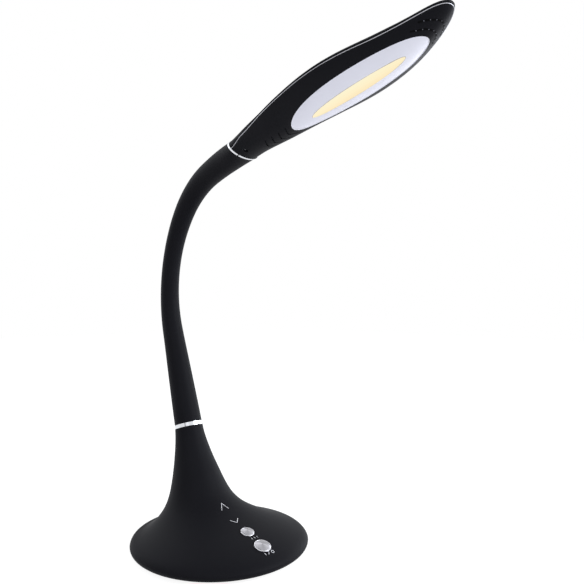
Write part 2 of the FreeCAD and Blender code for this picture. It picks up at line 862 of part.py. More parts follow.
def stem_parts():
    half = lower_ring_height / 2
    outer = cylinder(
        "lower_ring_outer",
        shifted(stem, z=-half + ring_seat_gap),
        "Sizes.stem_radius+Sizes.lower_ring_proud",
        "Sizes.lower_ring_height-2*Sizes.ring_seat_gap",
    )
    inner = cylinder(
        "lower_ring_inner",
        shifted(stem, z=-half - 1),
        "Sizes.socket_flange_radius+Sizes.running_gap",
        "Sizes.lower_ring_height+2",
    )
    facing = FreeCAD.Placement(Vector(), FreeCAD.Rotation(Vector(0, 0, 1), -ring_split_side))
    blade = stem.multiply(facing).multiply(
        FreeCAD.Placement(Vector(stem_radius / 2, -ring_split / 2, -half * 6), FreeCAD.Rotation())
    )
    split_ring("lower_ring", cut("lower_ring_band", outer, inner), blade, stem_radius)

    size("socket_total", socket_below + socket_above)
    size("socket_flange_low", socket_below - lower_ring_height / 2 + fit_gap)
    size("socket_flange_high", socket_below + lower_ring_height / 2 - fit_gap)
    size("core_seat_radius", core_radius + fit_gap)
    doc.recompute()
    corners = [
        ("Sizes.core_seat_radius", "0"),
        ("Sizes.socket_radius", "0"),
        ("Sizes.socket_radius", "Sizes.socket_flange_low"),
        ("Sizes.socket_flange_radius", "Sizes.socket_flange_low"),
        ("Sizes.socket_flange_radius", "Sizes.socket_flange_high"),
        ("Sizes.socket_radius", "Sizes.socket_flange_high"),
        ("Sizes.socket_radius", "Sizes.socket_total"),
        ("Sizes.core_seat_radius", "Sizes.socket_total"),
    ]
    piece(lathe("neck_socket_body", shifted(stem, z=-socket_below), corners), "neck_socket")

    prism = doc.addObject("Part::Prism", "nut_prism")
    prism.Polygon = 6
    prism.Placement = shifted(collar_place, z=-nut_height - fit_gap)
    bind(prism, Circumradius="Sizes.nut_across_flats / 2 / cos(30)", Height="Sizes.nut_height")
    hole = cylinder(
        "nut_hole",
        shifted(collar_place, z=-nut_height * 2),
        "Sizes.socket_radius+Sizes.fit_gap",
        "Sizes.nut_height*3",
    )
    piece(cut("nut", prism, hole), "stem_nut")


stem_parts()


# Neck: rubber sleeve and wound steel core in lengths that swivel on ball ends
def tube_between(name, low, high, radius_at, steps):
    rings = []
    for k in range(steps + 1):
        along = low + (high - low) * k / steps
        rings.append(ring_section("%s_ring_%d" % (name, k), neck_frame(along), radius_at(along)))
    return loft(name, rings)


def joint_ball_radius(along):
    """Ball on the end of a sleeve: a hair smaller than the sleeve itself."""
    return sleeve_radius(along) - fit_gap


def ball(name, along, radius):
    item = doc.addObject("Part::Sphere", name)
    item.Radius = radius
    item.Placement = neck_frame(along)
    return item


def swing_cone(name, along, start_radius, length):
    """Opening that lets the next length of core swing about the joint."""
    slope = math.tan(math.radians(swing_half_angle))
    item = doc.addObject("Part::Cone", name)
    item.Radius1 = start_radius - slope
    item.Height = length + 1
    item.Radius2 = start_radius + length * slope
    item.Placement = shifted(neck_frame(along), z=-1)
    return item


def neck_piece(k):
    low = joints[k - 1] if k > 0 else lower_ring_height / 2 + fit_gap
    last = k == len(joints)
    name = "sleeve_%d" % (k + 1)
    start = low + (sleeve_lip if k > 0 else 0.0)
    high = neck_length if last else joints[k]
    if last:
        sections = [
            ring_section("%s_ring_%d" % (name, i), neck_frame(a), sleeve_radius(a))
            for i, a in enumerate((start, low + 16))
        ]
        for i, (share, spare) in enumerate(((0.66, 0.0), (0.84, 0.0), (1.0, 0.0), (1.0, 12.0))):
            along = low + (neck_length - low) * share
            grow = max((share - 0.4) / 0.6, 0.0) ** 2
            across = sleeve_radius(along) + (neck_end_half_width - sleeve_radius(neck_length)) * grow
            thick = sleeve_radius(along) + (neck_end_half_height - sleeve_radius(neck_length)) * grow
            sections.append(
                oval_section("%s_oval_%d" % (name, i), neck_frame(along + spare), across, thick)
            )
        outer = loft(name + "_outer", sections)
    else:
        outer = tube_between(name + "_outer", start, high, sleeve_radius, 4)
    bore_low = low - 1 if k > 0 else -1
    bore = tube_between(name + "_bore", bore_low, high + 14, lambda a: core_ball_radius + fit_gap, 5)
    tools = [bore]
    if k > 0:
        tools.append(ball(name + "_cup", low, joint_ball_radius(low) + joint_gap))
    else:
        tools.append(
            cylinder(
                "sleeve_counterbore",
                shifted(stem, z=-1),
                "Sizes.socket_radius+Sizes.fit_gap",
                "Sizes.socket_above+1+Sizes.fit_gap",
            )
        )
    if last:
        end = shifted(neck_end, z=-head_socket_in_neck - fit_gap)
        tools.append(
            cylinder(
                "sleeve_end_bore",
                end,
                "Sizes.head_socket_radius+Sizes.fit_gap",
                "Sizes.head_socket_in_neck*2",
            )
        )
        block = doc.addObject("Part::Box", "sleeve_trim")
        block.Length = block.Width = block.Height = beyond
        behind = -upper_ring_width / 2 - ring_seat_gap
        block.Placement = shifted(slanted_plane(behind), x=-beyond / 2, y=-beyond / 2)
        tools.append(block)
        blank = outer
    else:
        blank = fuse(name + "_blank", outer, ball(name + "_ball", high, joint_ball_radius(high)))
        tools.append(
            swing_cone(name + "_swing", high, core_ball_radius + core_gap, sleeve_radius(high) + 3)
        )
    piece(cut(name + "_cut", blank, fuse(name + "_tools", *tools)), "neck_sleeve_%d" % (k + 1))

    name = "core_%d" % (k + 1)
    core_low = low + core_lip if k > 0 else 4 - socket_below
    core_high = neck_length + 8 if last else high
    shell = tube_between(name + "_outer", core_low, core_high, lambda a: core_radius, 4)
    bore = tube_between(name + "_bore", core_low - 6, core_high + 6, lambda a: core_bore_radius, 4)
    core_tools = [bore]
    if k > 0:
        core_tools.append(ball(name + "_cup", low, core_ball_radius + core_gap))
    if not last:
        shell = fuse(name + "_blank", shell, ball(name + "_ball", high, core_ball_radius))
        core_tools.append(swing_cone(name + "_swing", high, core_bore_radius, core_radius + 1))
    piece(cut(name + "_cut", shell, fuse(name + "_tools", *core_tools)), "neck_core_%d" % (k + 1))


for k in range(len(joints) + 1):
    neck_piece(k)


def neck_cable():
    """Two-core lead through the whole neck, in straights and arcs like the neck itself."""
    edges = []
    marks = [4 - socket_below, neck_straight]
    for arc_radius, whole_turn in (
        (neck_arc_one, neck_turn_one),
        (neck_arc_two, neck_turn_two),
        (neck_arc_three, neck_turn_three),
    ):
        marks.append(marks[-1] + arc_radius * math.radians(whole_turn))
    stem_direction = stem.Rotation.multVec(Vector(0, 0, 1))
    first = stem.Base + stem_direction * marks[0]
    edges.append(Part.LineSegment(first, neck_frame(marks[1]).Base).toShape())
    for a, b in zip(marks[1:], marks[2:]):
        points = [neck_frame(x).Base for x in (a, (a + b) / 2, b)]
        edges.append(Part.Arc(*points).toShape())
    edges.append(Part.LineSegment(neck_frame(marks[-1]).Base, neck_frame(neck_length + 8).Base).toShape())
    circle = Part.Wire([Part.Circle(first, stem_direction, cable_radius).toShape()])
    return fixed("neck_cable", Part.Wire(edges).makePipeShell([circle], True, False))


piece(neck_cable(), "neck_cable")


# Head shells: half lenses lofted over sections from ring to nose
def head_section(along, across, depth, level, fullness, over):
    """Closed half section. Fullness 1 is half an oval, 0 a parabola that meets the seam at an edge."""
    points = []
    for i in range(9):
        angle = math.pi * i / 8
        bulge = fullness * math.sin(angle) + (1 - fullness) * math.sin(angle) ** 2
        points.append(head_point(along, across * math.cos(angle), level + depth * bulge))
    curve = Part.BSplineCurve()
    curve.interpolate(points)
    corners = [points[-1], points[0]]
    if over:
        lift = head_up * math.copysign(over, -depth)
        corners = [points[-1], points[-1] + lift, points[0] + lift, points[0]]
    chords = [Part.LineSegment(p, q).toShape() for p, q in zip(corners, corners[1:])]
    return Part.Wire([curve.toShape()] + chords)


head_shares = [-0.05, 0.05, 0.13, 0.23, 0.35, 0.48, 0.62, 0.75, 0.86, 0.94, 0.98, 0.997]


def head_lens(name, inset, upper, over=0.0):
    """Half of the head's lens, its outline drawn in by the inset."""
    sections = []
    scale = (head_length - inset) / head_length
    for k, share in enumerate(head_shares):
        along = share * head_length
        place = along * scale if share > 0 else along - inset
        across = max(half_width(along) - inset, 0.4)
        eased = min(max(along / head_ease, 0.0), 1.0)
        if upper:
            depth = max(rise_above(along) - inset, 0.3)
            level = parting_level(place)
            fullness = 1 - (1 - head_fullness) * eased
        else:
            depth = -max(depth_below(along) - inset, 0.3)
            level = parting_level(place) - parting_gap
            fullness = 1 - eased
        wire = head_section(place, across, depth, level, fullness, over)
        sections.append(fixed("%s_section_%d" % (name, k), wire))
    return loft(name, sections)


head_frame_flat = FreeCAD.Placement(
    neck_end.Base,
    FreeCAD.Rotation(head_along, head_across, head_up, "ZXY"),
)


def head_oval(name, centre, half_length, half_across, low, high):
    """Oval prism standing on the head's plan, between two levels."""
    item = doc.addObject("Part::Extrusion", name)
    outline = doc.addObject("Part::Ellipse", name + "_outline")
    outline.MajorRadius = half_length
    outline.MinorRadius = half_across
    outline.Placement = shifted(head_frame_flat, x=centre, z=low)
    item.Base = outline
    item.DirMode = "Custom"
    item.Dir = head_up
    item.LengthFwd = high - low
    item.Solid = True
    return item


def head_pole(name, along, across, low, high, radius):
    item = doc.addObject("Part::Cylinder", name)
    item.Placement = shifted(head_frame_flat, x=along, y=across, z=low)
    item.Height = high - low
    bind(item, Radius=radius)
    return item


def head_block(name, along, length, half_across, low, high):
    item = doc.addObject("Part::Box", name)
    item.Placement = shifted(head_frame_flat, x=along, y=-half_across, z=low)
    item.Length = length
    item.Width = half_across * 2
    item.Height = high - low
    return item


def ring_block(name):
    """Everything behind the front face of the upper ring."""
    block = doc.addObject("Part::Box", name)
    block.Length = block.Width = block.Height = beyond
    front = slanted_plane(upper_ring_width / 2 + ring_seat_gap)
    block.Placement = shifted(front, x=-beyond / 2, y=-beyond / 2, z=-beyond)
    return block


def socket_clearance(name):
    return cylinder(
        name,
        shifted(neck_end, z=-neck_end_straight),
        "Sizes.head_socket_radius+Sizes.fit_gap",
        "Sizes.head_socket_in_head*2",
    )


def upper_shell():
    outer = head_lens("upper_outer", 0.0, True)
    inner = head_lens("upper_inner", head_wall, True, 3.0)
    posts = [
        head_pole(
            "upper_post_%d" % side,
            head_screw_at,
            side * head_screw_side,
            parting_level(head_screw_at) + 0.05,
            deep,
            "Sizes.dimple_radius+Sizes.upper_post_wall",
        )
        for side in (-1, 1)
    ]
    holes = [
        head_pole(
            "upper_post_hole_%d" % side,
            head_screw_at,
            side * head_screw_side,
            -deep,
            parting_level(head_screw_at) + head_screw_reach + fit_gap * 5,
            "Sizes.screw_radius",
        )
        for side in (-1, 1)
    ]
    skin = cut("upper_skin", outer, inner)
    whole = fuse("upper_whole", skin, common("upper_posts", outer, fuse("upper_post_pair", *posts)))
    tools = fuse(
        "upper_tools",
        ring_block("upper_ring_block"),
        socket_clearance("upper_socket_clearance"),
        *holes,
    )
    piece(cut("upper_shell", whole, tools), "head_upper_shell")


def groove(name, apex):
    """Chevron groove outline whose point faces the ring."""
    flat = [
        (0, 0),
        (groove_reach, groove_side),
        (groove_reach + groove_width, groove_side),
        (groove_width, 0),
    ]
    corners = flat + [(groove_reach + groove_width, -groove_side), (groove_reach, -groove_side)]
    points = [head_point(apex + a, b, -deep) for a, b in corners]
    face = Part.Face(Part.makePolygon(points + points[:1]))
    return fixed(name, face.extrude(head_up * deep))


def lower_shell():
    outer = head_lens("lower_outer", 0.0, False)
    inner = head_lens("lower_inner", head_wall, False, 3.0)
    skin = cut("lower_skin", outer, inner)
    level = parting_level(head_screw_at) - parting_gap - 0.05
    posts = [
        head_pole(
            "lower_post_%d" % side,
            head_screw_at,
            side * head_screw_side,
            -deep,
            level,
            "Sizes.dimple_radius+Sizes.lower_post_wall",
        )
        for side in (-1, 1)
    ]
    posts += [
        head_pole(
            "plate_post_%d_%d" % (way, side),
            heat_plate_centre + way * plate_post_at,
            side * plate_post_side,
            -deep,
            heat_plate_level - fit_gap,
            "Sizes.plate_post_radius",
        )
        for way in (-1, 1)
        for side in (-1, 1)
    ]
    flange_at = head_socket_flange_at
    saddles = [
        head_block("saddle_back", flange_at - 4.2, 4.0, 12.0, -deep, 0.0),
        head_block("saddle_front", flange_at + head_socket_flange_thick + 0.2, 4.0, 12.0, -deep, 0.0),
    ]
    ribs = common("lower_ribs", outer, fuse("lower_rib_set", *posts, *saddles))
    whole = fuse("lower_whole", skin, ribs)
    opening = head_oval(
        "panel_opening",
        panel_centre,
        panel_half_length + fit_gap,
        panel_half_width + fit_gap,
        -deep,
        deep,
    )
    depth_skin = head_lens("groove_floor", groove_depth, False, 30.0)
    grooves = fuse(
        "groove_set",
        *[groove("groove_%d" % k, groove_first + groove_pitch * k) for k in range(4)],
    )
    cut_grooves = cut("grooves", grooves, depth_skin)
    dimples = [
        head_pole(
            "dimple_%d" % side,
            head_screw_at,
            side * head_screw_side,
            -deep,
            -dimple_floor,
            "Sizes.dimple_radius",
        )
        for side in (-1, 1)
    ]
    holes = [
        head_pole(
            "lower_screw_hole_%d" % side,
            head_screw_at,
            side * head_screw_side,
            -deep,
            deep,
            "Sizes.screw_radius",
        )
        for side in (-1, 1)
    ]
    tools = [
        ring_block("lower_ring_block"),
        socket_clearance("lower_socket_clearance"),
        opening,
        cut_grooves,
    ]
    tools += dimples + holes
    piece(cut("lower_shell", whole, fuse("lower_tools", *tools)), "head_lower_shell")


def panel_parts():
    surface = head_lens("panel_surface", panel_recess, False)
    back = head_lens("panel_back", panel_recess + panel_thick, False, 6.0)
    layer = cut("panel_layer", surface, back)
    dish = common(
        "panel_dish",
        layer,
        head_oval("panel_oval", panel_centre, panel_half_length, panel_half_width, -deep, deep),
    )
    window_room = head_oval(
        "window_room",
        window_centre,
        window_half_length + fit_gap,
        window_half_width + fit_gap,
        -deep,
        deep,
    )
    piece(cut("panel", dish, window_room), "reflector_panel")
    lens_back = head_lens("window_back", panel_recess + window_thick, False, 6.0)
    lens_front = head_lens("window_front", panel_recess - 0.1, False)
    lens = common(
        "window_lens_cut",
        cut("window_layer", lens_front, lens_back),
        head_oval("window_oval", window_centre, window_half_length, window_half_width, -deep, deep),
    )
    piece(lens, "window_lens")


def head_electrics():
    plate = head_oval(
        "heat_plate_oval",
        heat_plate_centre,
        heat_plate_half_length,
        heat_plate_half_width,
        heat_plate_level,
        heat_plate_level + heat_plate_thick,
    )
    piece(plate, "heat_plate")
    board = head_oval(
        "led_board_oval",
        window_centre,
        led_board_half_length,
        led_board_half_width,
        heat_plate_level - led_board_thick,
        heat_plate_level,
    )
    piece(board, "led_board")
    chips = []
    count = int(led_board_half_length * 1.5 / led_pitch)
    for k in range(-(count // 2), count // 2 + 1):
        for side in (-1, 1):
            chip = doc.addObject("Part::Box", "led_%d_%d" % (k + count, side + 1))
            chip.Placement = shifted(
                head_frame_flat,
                x=window_centre + k * led_pitch - led_length / 2,
                y=side * led_row_side - led_width / 2,
                z=heat_plate_level - led_board_thick - led_height,
            )
            bind(chip, Length="Sizes.led_length", Width="Sizes.led_width", Height="Sizes.led_height")
            chips.append(chip)
    group = doc.addObject("Part::Compound", "led_group")
    group.Links = chips
    piece(group, "led_chips")


def head_fixings():
    screws = []
    for side in (-1, 1):
        head = head_pole(
            "head_screw_head_%d" % side,
            head_screw_at,
            side * head_screw_side,
            -dimple_floor - fit_gap - head_screw_head_height,
            -dimple_floor - fit_gap,
            "Sizes.dimple_radius-2*Sizes.fit_gap",
        )
        shank = head_pole(
            "head_screw_shank_%d" % side,
            head_screw_at,
            side * head_screw_side,
            -dimple_floor - head_screw_head_height / 2,
            parting_level(head_screw_at) + head_screw_reach,
            "Sizes.screw_radius-Sizes.fit_gap",
        )
        screws.append(fuse("head_screw_%d" % side, head, shank))
    group = doc.addObject("Part::Compound", "head_screw_group")
    group.Links = screws
    piece(group, "head_screws")

    size("head_seat_radius", core_radius + running_gap)
    size("head_socket_total", head_socket_in_neck + head_socket_in_head)
    size("head_flange_low", head_socket_in_neck + head_socket_flange_at)
    size("head_flange_high", head_socket_in_neck + head_socket_flange_at + head_socket_flange_thick)
    doc.recompute()
    corners = [
        ("Sizes.head_seat_radius", "0"),
        ("Sizes.head_socket_radius", "0"),
        ("Sizes.head_socket_radius", "Sizes.head_flange_low"),
        ("Sizes.head_socket_flange", "Sizes.head_flange_low"),
        ("Sizes.head_socket_flange", "Sizes.head_flange_high"),
        ("Sizes.head_socket_radius", "Sizes.head_flange_high"),
        ("Sizes.head_socket_radius", "Sizes.head_socket_total"),
        ("Sizes.head_seat_radius", "Sizes.head_socket_total"),
    ]
    piece(lathe("head_socket_body", shifted(neck_end, z=-head_socket_in_neck), corners), "head_socket")

    outer = loft(
        "upper_ring_outer",
        [
            oval_section(
                "upper_ring_oval_%d" % k,
                neck_frame(neck_length + step),
                neck_end_half_width + upper_ring_proud,
                neck_end_half_height + upper_ring_proud,
            )
            for k, step in enumerate((-14, 14))
        ],
    )
    inner = loft(
        "upper_ring_inner",
        [
            oval_section(
                "upper_ring_inner_%d" % k,
                neck_frame(neck_length + step),
                neck_end_half_width - upper_ring_wall,
                neck_end_half_height - upper_ring_wall,
            )
            for k, step in enumerate((-15, 15))
        ],
    )
    slab = doc.addObject("Part::Box", "upper_ring_slab")
    slab.Length = slab.Width = beyond
    bind(slab, Height="Sizes.upper_ring_width")
    slab.Placement = shifted(slanted_plane(-upper_ring_width / 2), x=-beyond / 2, y=-beyond / 2)
    band = common("upper_ring_band", cut("upper_ring_tube", outer, inner), slab)
    middle = slanted_plane(0)
    facing = FreeCAD.Placement(Vector(), FreeCAD.Rotation(Vector(0, 0, 1), -ring_split_side))
    blade = middle.multiply(facing).multiply(
        FreeCAD.Placement(Vector(4, -ring_split / 2, -10), FreeCAD.Rotation())
    )
    split_ring("upper_ring", band, blade, 30.0)


def leads():
    landing = shifted(on_board(touch_up_x), y=-lead_side, z=cable_radius + fit_gap).Base
    axis = stem.Rotation.multVec(Vector(0, 0, 1))
    points = [
        stem.Base + axis * (4 - socket_below - 0.2),
        stem.Base - axis * 38,
        Vector(-30, -2, 52),
        landing + Vector(-17, 2, 8),
        landing,
    ]
    piece(fixed("base_lead", tube_path(points, cable_radius)), "base_lead")
    end = neck_length + 8.2
    points = [
        neck_frame(end).Base,
        neck_frame(end + 26).Base,
        head_point(62, 0, 4.6),
        head_point(92, 0, heat_plate_level + heat_plate_thick + cable_radius + 0.1),
    ]
    piece(fixed("led_lead", tube_path(points, cable_radius)), "led_lead")


upper_shell()
lower_shell()
panel_parts()
head_electrics()
head_fixings()
leads()
doc.recompute()

# Check every object and write one file for each sub-part
troubles = [o.Name for o in doc.Objects if "Invalid" in o.State or "Error" in o.State]
if troubles:
    raise RuntimeError("objects that failed: " + ", ".join(troubles))
for item in pieces:
    if item.Shape.isNull() or not item.Shape.isValid() or item.Shape.Volume <= 0:
        raise RuntimeError("bad shape: " + item.Label)
os.makedirs("parts", exist_ok=True)
for item in pieces:
    item.Shape.exportStep("parts/%s.step" % item.Label)
    box = item.Shape.BoundBox
    print(
        "%-18s %2d solids %9.1f mm3  z %.1f to %.1f" % (
            item.Label,
            len(item.Shape.Solids),
            item.Shape.Volume,
            box.ZMin,
            box.ZMax,
        )
    )
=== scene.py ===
"""Gooseneck desk lamp: trumpet foot with push buttons, bendable neck, leaf-shaped light head."""
import math

import bpy
import numpy as np
from mathutils import Matrix


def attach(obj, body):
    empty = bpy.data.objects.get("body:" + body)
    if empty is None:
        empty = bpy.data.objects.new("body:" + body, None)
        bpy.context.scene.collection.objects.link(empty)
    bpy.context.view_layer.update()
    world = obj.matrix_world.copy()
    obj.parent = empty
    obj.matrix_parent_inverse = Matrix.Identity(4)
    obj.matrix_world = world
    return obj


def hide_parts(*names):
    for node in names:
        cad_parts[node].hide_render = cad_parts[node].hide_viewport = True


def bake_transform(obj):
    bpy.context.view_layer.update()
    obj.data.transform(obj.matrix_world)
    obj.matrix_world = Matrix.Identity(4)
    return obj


bl_info = {
    "name": "Gooseneck desk lamp",
    "version": (1, 0, 0),
    "blender": (4, 5, 0),
    "location": "View3D > Sidebar > Lamp",
    "description": "Builds a gooseneck desk lamp with its finishes, marks, stage and camera",
    "category": "Add Mesh",
}

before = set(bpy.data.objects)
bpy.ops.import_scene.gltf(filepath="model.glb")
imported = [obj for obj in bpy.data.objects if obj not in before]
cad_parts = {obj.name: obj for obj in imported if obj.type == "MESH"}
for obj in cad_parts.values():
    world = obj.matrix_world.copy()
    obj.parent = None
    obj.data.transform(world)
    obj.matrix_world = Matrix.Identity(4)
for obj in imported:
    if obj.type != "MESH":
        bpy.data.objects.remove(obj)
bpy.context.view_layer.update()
MM = 0.001

# Sizes of the lamp in millimetres and degrees, as in the solids: foot, neck and head outlines
RIM = (88.0, 7.5)
STEM = (-60.85, 110.5)
STEM_RADIUS = 14.8
STEM_LEAN = 19.0
FLARE_FRONT = [(88.0, 10.3), (70.0, 20.7), (-0.6, 34.0), (-18.5, 67.2), (-38.7, 91.6)]
FLARE_BACK = [(-88.0, 13.0), (-79.5, 9.4), (-71.5, 25.0), (-67.6, 51.0), (-71.8, 96.7)]
RING_HALF = 1.9
NECK_RUNS = [(107.5, 0.0), (140.5, 55.6), (107.3, 34.2), (320.0, 8.8), (8.8, 0.0)]
NECK_RADII = [14.6, 13.15, 11.35, 10.25, 10.15, 11.1, 12.35, 13.3]
NECK_RADIUS_STEP = 50.0
NECK_END = (16.86, 10.95)
OVAL_FROM = 0.4
UPPER_RING_TILT = 26.2
UPPER_RING_HALF = 1.0
SEAT_GAP = 0.1
FIRST_JOINT = 40.0
JOINT_PITCH = 45.0
JOINTS = 7

# Reach to each side of a joint at which a skin or lead length's bend is worked out, though nothing uses it.
# The lead's ends lie past the neck's.
BEND_REACH = 16.0
CABLE_RADIUS = 1.5
CABLE_ENDS = (-12.0, 7.5)

HEAD_LENGTH = 240.25
HEAD_HALF_WIDTHS = [16.86, 20.2, 25.5, 30.9, 35.4, 38.7, 39.8, 37.8, 33.4, 29.2, 27.2]
HEAD_DEPTHS = [10.95, 14.2, 15.6, 14.6, 13.6, 12.9, 12.4, 11.9, 11.4, 11.2, 11.2]
HEAD_LIFT = (4.3, 24.0)
NOSE_LIFT = (9.7, 0.25)
HEAD_EASE = 60.0
PARTING_GAP = 0.15
PANEL = (145.6, 71.2, 23.5)
PANEL_RECESS = 0.5
WINDOW = (147.2, 49.3, 7.7)
WINDOW_RIM_SUNK = 0.15

# Two rows of short slots near the tip: half of each row's line, from its apex out along one arm, the
# length, width and gap of a slot, how many lie on each side, and how far their floors stand proud
OUTER_SLOTS = [
    (229.8, 0.0),
    (229.4, 2.6),
    (228.1, 5.4),
    (225.9, 8.4),
    (223.2, 10.9),
    (220.4, 13.0),
    (218.3, 14.5),
]
INNER_SLOTS = [
    (222.5, 0.0),
    (222.1, 2.6),
    (220.9, 5.6),
    (218.6, 8.5),
    (216.0, 10.6),
    (213.6, 12.6),
    (211.4, 14.2),
]
SLOT = (3.85, 1.15, 0.75)
SLOTS_ASIDE = 4
SLOT_PROUD = 0.08
SLOT_SUNK = 0.3
WEB_SUNK = 0.08

# Push buttons: place along the foot, cap radius, and how far the cap's bright edge stands over the flare
BUTTONS = {"mode_button": (43.4, 6.6), "power_button": (65.9, 8.0)}
BUTTON_LEVEL = 0.5
RIM_INSET = 0.05

# Printed marks: each chevron's apex, reach and half width, and the middles of the signs beside the buttons
CHEVRONS = [(0.9, 6.8, 4.2), (27.4, -5.5, 4.6)]
MODE_SIGN = (53.2, 0.8)
POWER_SIGN = (75.2, 0.4)

# Bright wire on the head shells' seam, a painted highlight of their parting edge: where it starts beside the
# ring, its shares of the outline's width and length, how far its middle stands out of the underside, and how
# its points crowd towards the nose
SEAM_START = 2.6
SEAM_WIDTH = 0.97
SEAM_LENGTH = 0.996
SEAM_PROUD = 0.05
SEAM_CROWDING = 2.6

# Stage: strength of the plain light from all round, glow of the floor and its share where it is looked at,
# each soft lamp's place, width in metres and power in watts, and the point that all of them face
WORLD_LEVEL = 0.45
FLOOR_GLOW = 1.35
FLOOR_SHARE = 0.66
FLOOR_HALF = 4000.0
FLOOR_LEVEL = -0.02
LIGHTS = {
    "key_light": ((0.9, -1.3, 1.5), 1.4, 8.0),
    "fill_light": ((-1.6, -0.6, 0.9), 1.6, 7.0),
    "side_light": ((1.3, 0.9, 0.9), 1.1, 26.0),
    "back_light": ((0.1, 1.5, 0.25), 1.1, 10.0),
}
LIGHT_TARGET = (0.05, 0.0, 0.22)
LIGHT_COLOUR = (0.9, 0.94, 1.0)

# Camera fitted to the photograph: place in metres, azimuth, tilt and roll in degrees, sensor and lens in mm
CAMERA_PLACE = (0.4782, -0.3439, 0.2392)
CAMERA_ANGLES = (47.43, 1.52, 0.367)
CAMERA_SENSOR = 36.0
CAMERA_LENS = 35.49


# Curves and stations
def stations(values, share):
    """Catmull-Rom curve through evenly spaced values, at shares 0 to 1 of their row."""
    values = np.asarray(values, float)
    place = np.clip(share, 0.0, 1.0) * (len(values) - 1)
    k = np.minimum(place.astype(int), len(values) - 2)
    f = place - k
    a = values[np.maximum(k - 1, 0)]
    b = values[k]
    c = values[k + 1]
    d = values[np.minimum(k + 2, len(values) - 1)]
    straight = b + (c - a) * f / 2
    bend = (2 * a - 5 * b + 4 * c - d) * f ** 2 / 2
    return straight + bend + (3 * b - a - 3 * c + d) * f ** 3 / 2


def clamped_spline(poles, share):
    """Cubic B-spline that starts and ends on its first and last pole: each point is the sum of the
    poles weighted by basis functions, built up degree by degree from the knot spans."""
    poles = np.asarray(poles, float)
    count = len(poles)
    knots = np.concatenate([[0] * 3, np.linspace(0, 1, count - 2), [1] * 3])
    share = np.clip(np.asarray(share, float), 0, 1 - 1e-9)[..., None]
    basis = ((share >= knots[:-1]) & (share < knots[1:])).astype(float)
    for degree in (1, 2, 3):
        rise = knots[degree:-1] - knots[:-degree - 1]
        fall = knots[degree + 1:] - knots[1:-degree]
        up = np.where(rise > 0, (share - knots[:-degree - 1]) / np.where(rise > 0, rise, 1), 0)
        down = np.where(fall > 0, (knots[degree + 1:] - share) / np.where(fall > 0, fall, 1), 0)
        basis = up * basis[..., :-1] + down * basis[..., 1:]
    return basis @ poles


def neck_line(along):
    """Points and headings of the neck's centre line: straight runs and arcs joined end to end, the
    heading counted from straight up towards the front."""
    along = np.asarray(along, float)
    x = np.full(along.shape, STEM[0])
    z = np.full(along.shape, STEM[1])
    heading = np.full(along.shape, math.radians(-STEM_LEAN))
    left = along.copy()
    last = len(NECK_RUNS) - 1
    for k, (size, degrees) in enumerate(NECK_RUNS):
        whole = math.radians(degrees)
        length = size * whole if degrees else size
        run = left if k == last else np.clip(left, 0 if k else None, length)
        run = np.where(left > 0, run, run if k == 0 else 0)
        turned = whole * run / length
        half = np.where(np.abs(turned) > 1e-9, turned / 2, 1e-9)
        chord = run * np.sin(half) / half
        x = x + chord * np.sin(heading + turned / 2)
        z = z + chord * np.cos(heading + turned / 2)
        heading = heading + turned
        left = left - run
    return x, z, heading


NECK_LENGTH = sum(size * math.radians(turn) if turn else size for size, turn in NECK_RUNS)
END_X, END_Z, END_HEADING = (float(v) for v in neck_line(NECK_LENGTH))
HEAD_ALONG = np.array([math.sin(END_HEADING), 0.0, math.cos(END_HEADING)])
HEAD_UP = np.array([-math.cos(END_HEADING), 0.0, math.sin(END_HEADING)])
HEAD_ACROSS = np.array([0.0, 1.0, 0.0])


def head_points(along, across, up):
    """Places in the head's own frame turned into the lamp's frame."""
    along, across, up = np.broadcast_arrays(along, across, up)
    start = np.array([END_X, 0.0, END_Z])
    return start + along[
        ...,
        None,
    ] * HEAD_ALONG + across[..., None] * HEAD_ACROSS + up[..., None] * HEAD_UP


def parting_level(along):
    """Height of the seam: it lifts smoothly off the ring, runs level and sweeps up at the nose."""
    start = np.clip(along / HEAD_LIFT[1], 0, 1)
    nose = np.maximum((along / HEAD_LENGTH - 1 + NOSE_LIFT[1]) / NOSE_LIFT[1], 0)
    return HEAD_LIFT[0] * start ** 2 * (3 - 2 * start) + NOSE_LIFT[0] * nose ** 2


def tip_taper(along, power):
    """Share that stays 1 along most of the head and falls to 0 at the nose, as the root of 1 less a power."""
    return np.sqrt(np.maximum(1 - np.maximum(along / HEAD_LENGTH, 0) ** power, 0))


def half_width(along):
    """Half the head's width: a curve through its stations, closed off at the nose."""
    return stations(HEAD_HALF_WIDTHS, along / HEAD_LENGTH) * tip_taper(along, 6)


def depth_below(along):
    """Depth of the head's underside below its seam: a curve through its stations, closed off at the nose."""
    return stations(HEAD_DEPTHS, along / HEAD_LENGTH) * tip_taper(along, 8)


def underside(along, across, inset=0.0):
    """Height of the head's underside. Its section is half an oval beside the ring and turns into a
    parabola that meets the seam at the outline."""
    bow = np.maximum(1 - (across / np.maximum(half_width(along) - inset, 0.01)) ** 2, 0)
    oval = 1 - np.clip(along / HEAD_EASE, 0, 1)
    depth = (depth_below(along) - inset) * (oval * np.sqrt(bow) + (1 - oval) * bow)
    return parting_level(along) - PARTING_GAP - depth


def flare_circle(share):
    """Centre, reach and radius of the flare's leaning circle between its front and back outlines."""
    lean = math.radians(STEM_LEAN)
    side = np.array([math.cos(lean), math.sin(lean)]) * STEM_RADIUS
    front = clamped_spline([RIM] + FLARE_FRONT + [tuple(np.array(STEM) + side)], share)
    back = clamped_spline([(-RIM[0], RIM[1])] + FLARE_BACK + [tuple(np.array(STEM) - side)], share)
    middle = (front + back) / 2
    reach = (front - back) / 2
    return middle, reach, np.hypot(reach[..., 0], reach[..., 1])


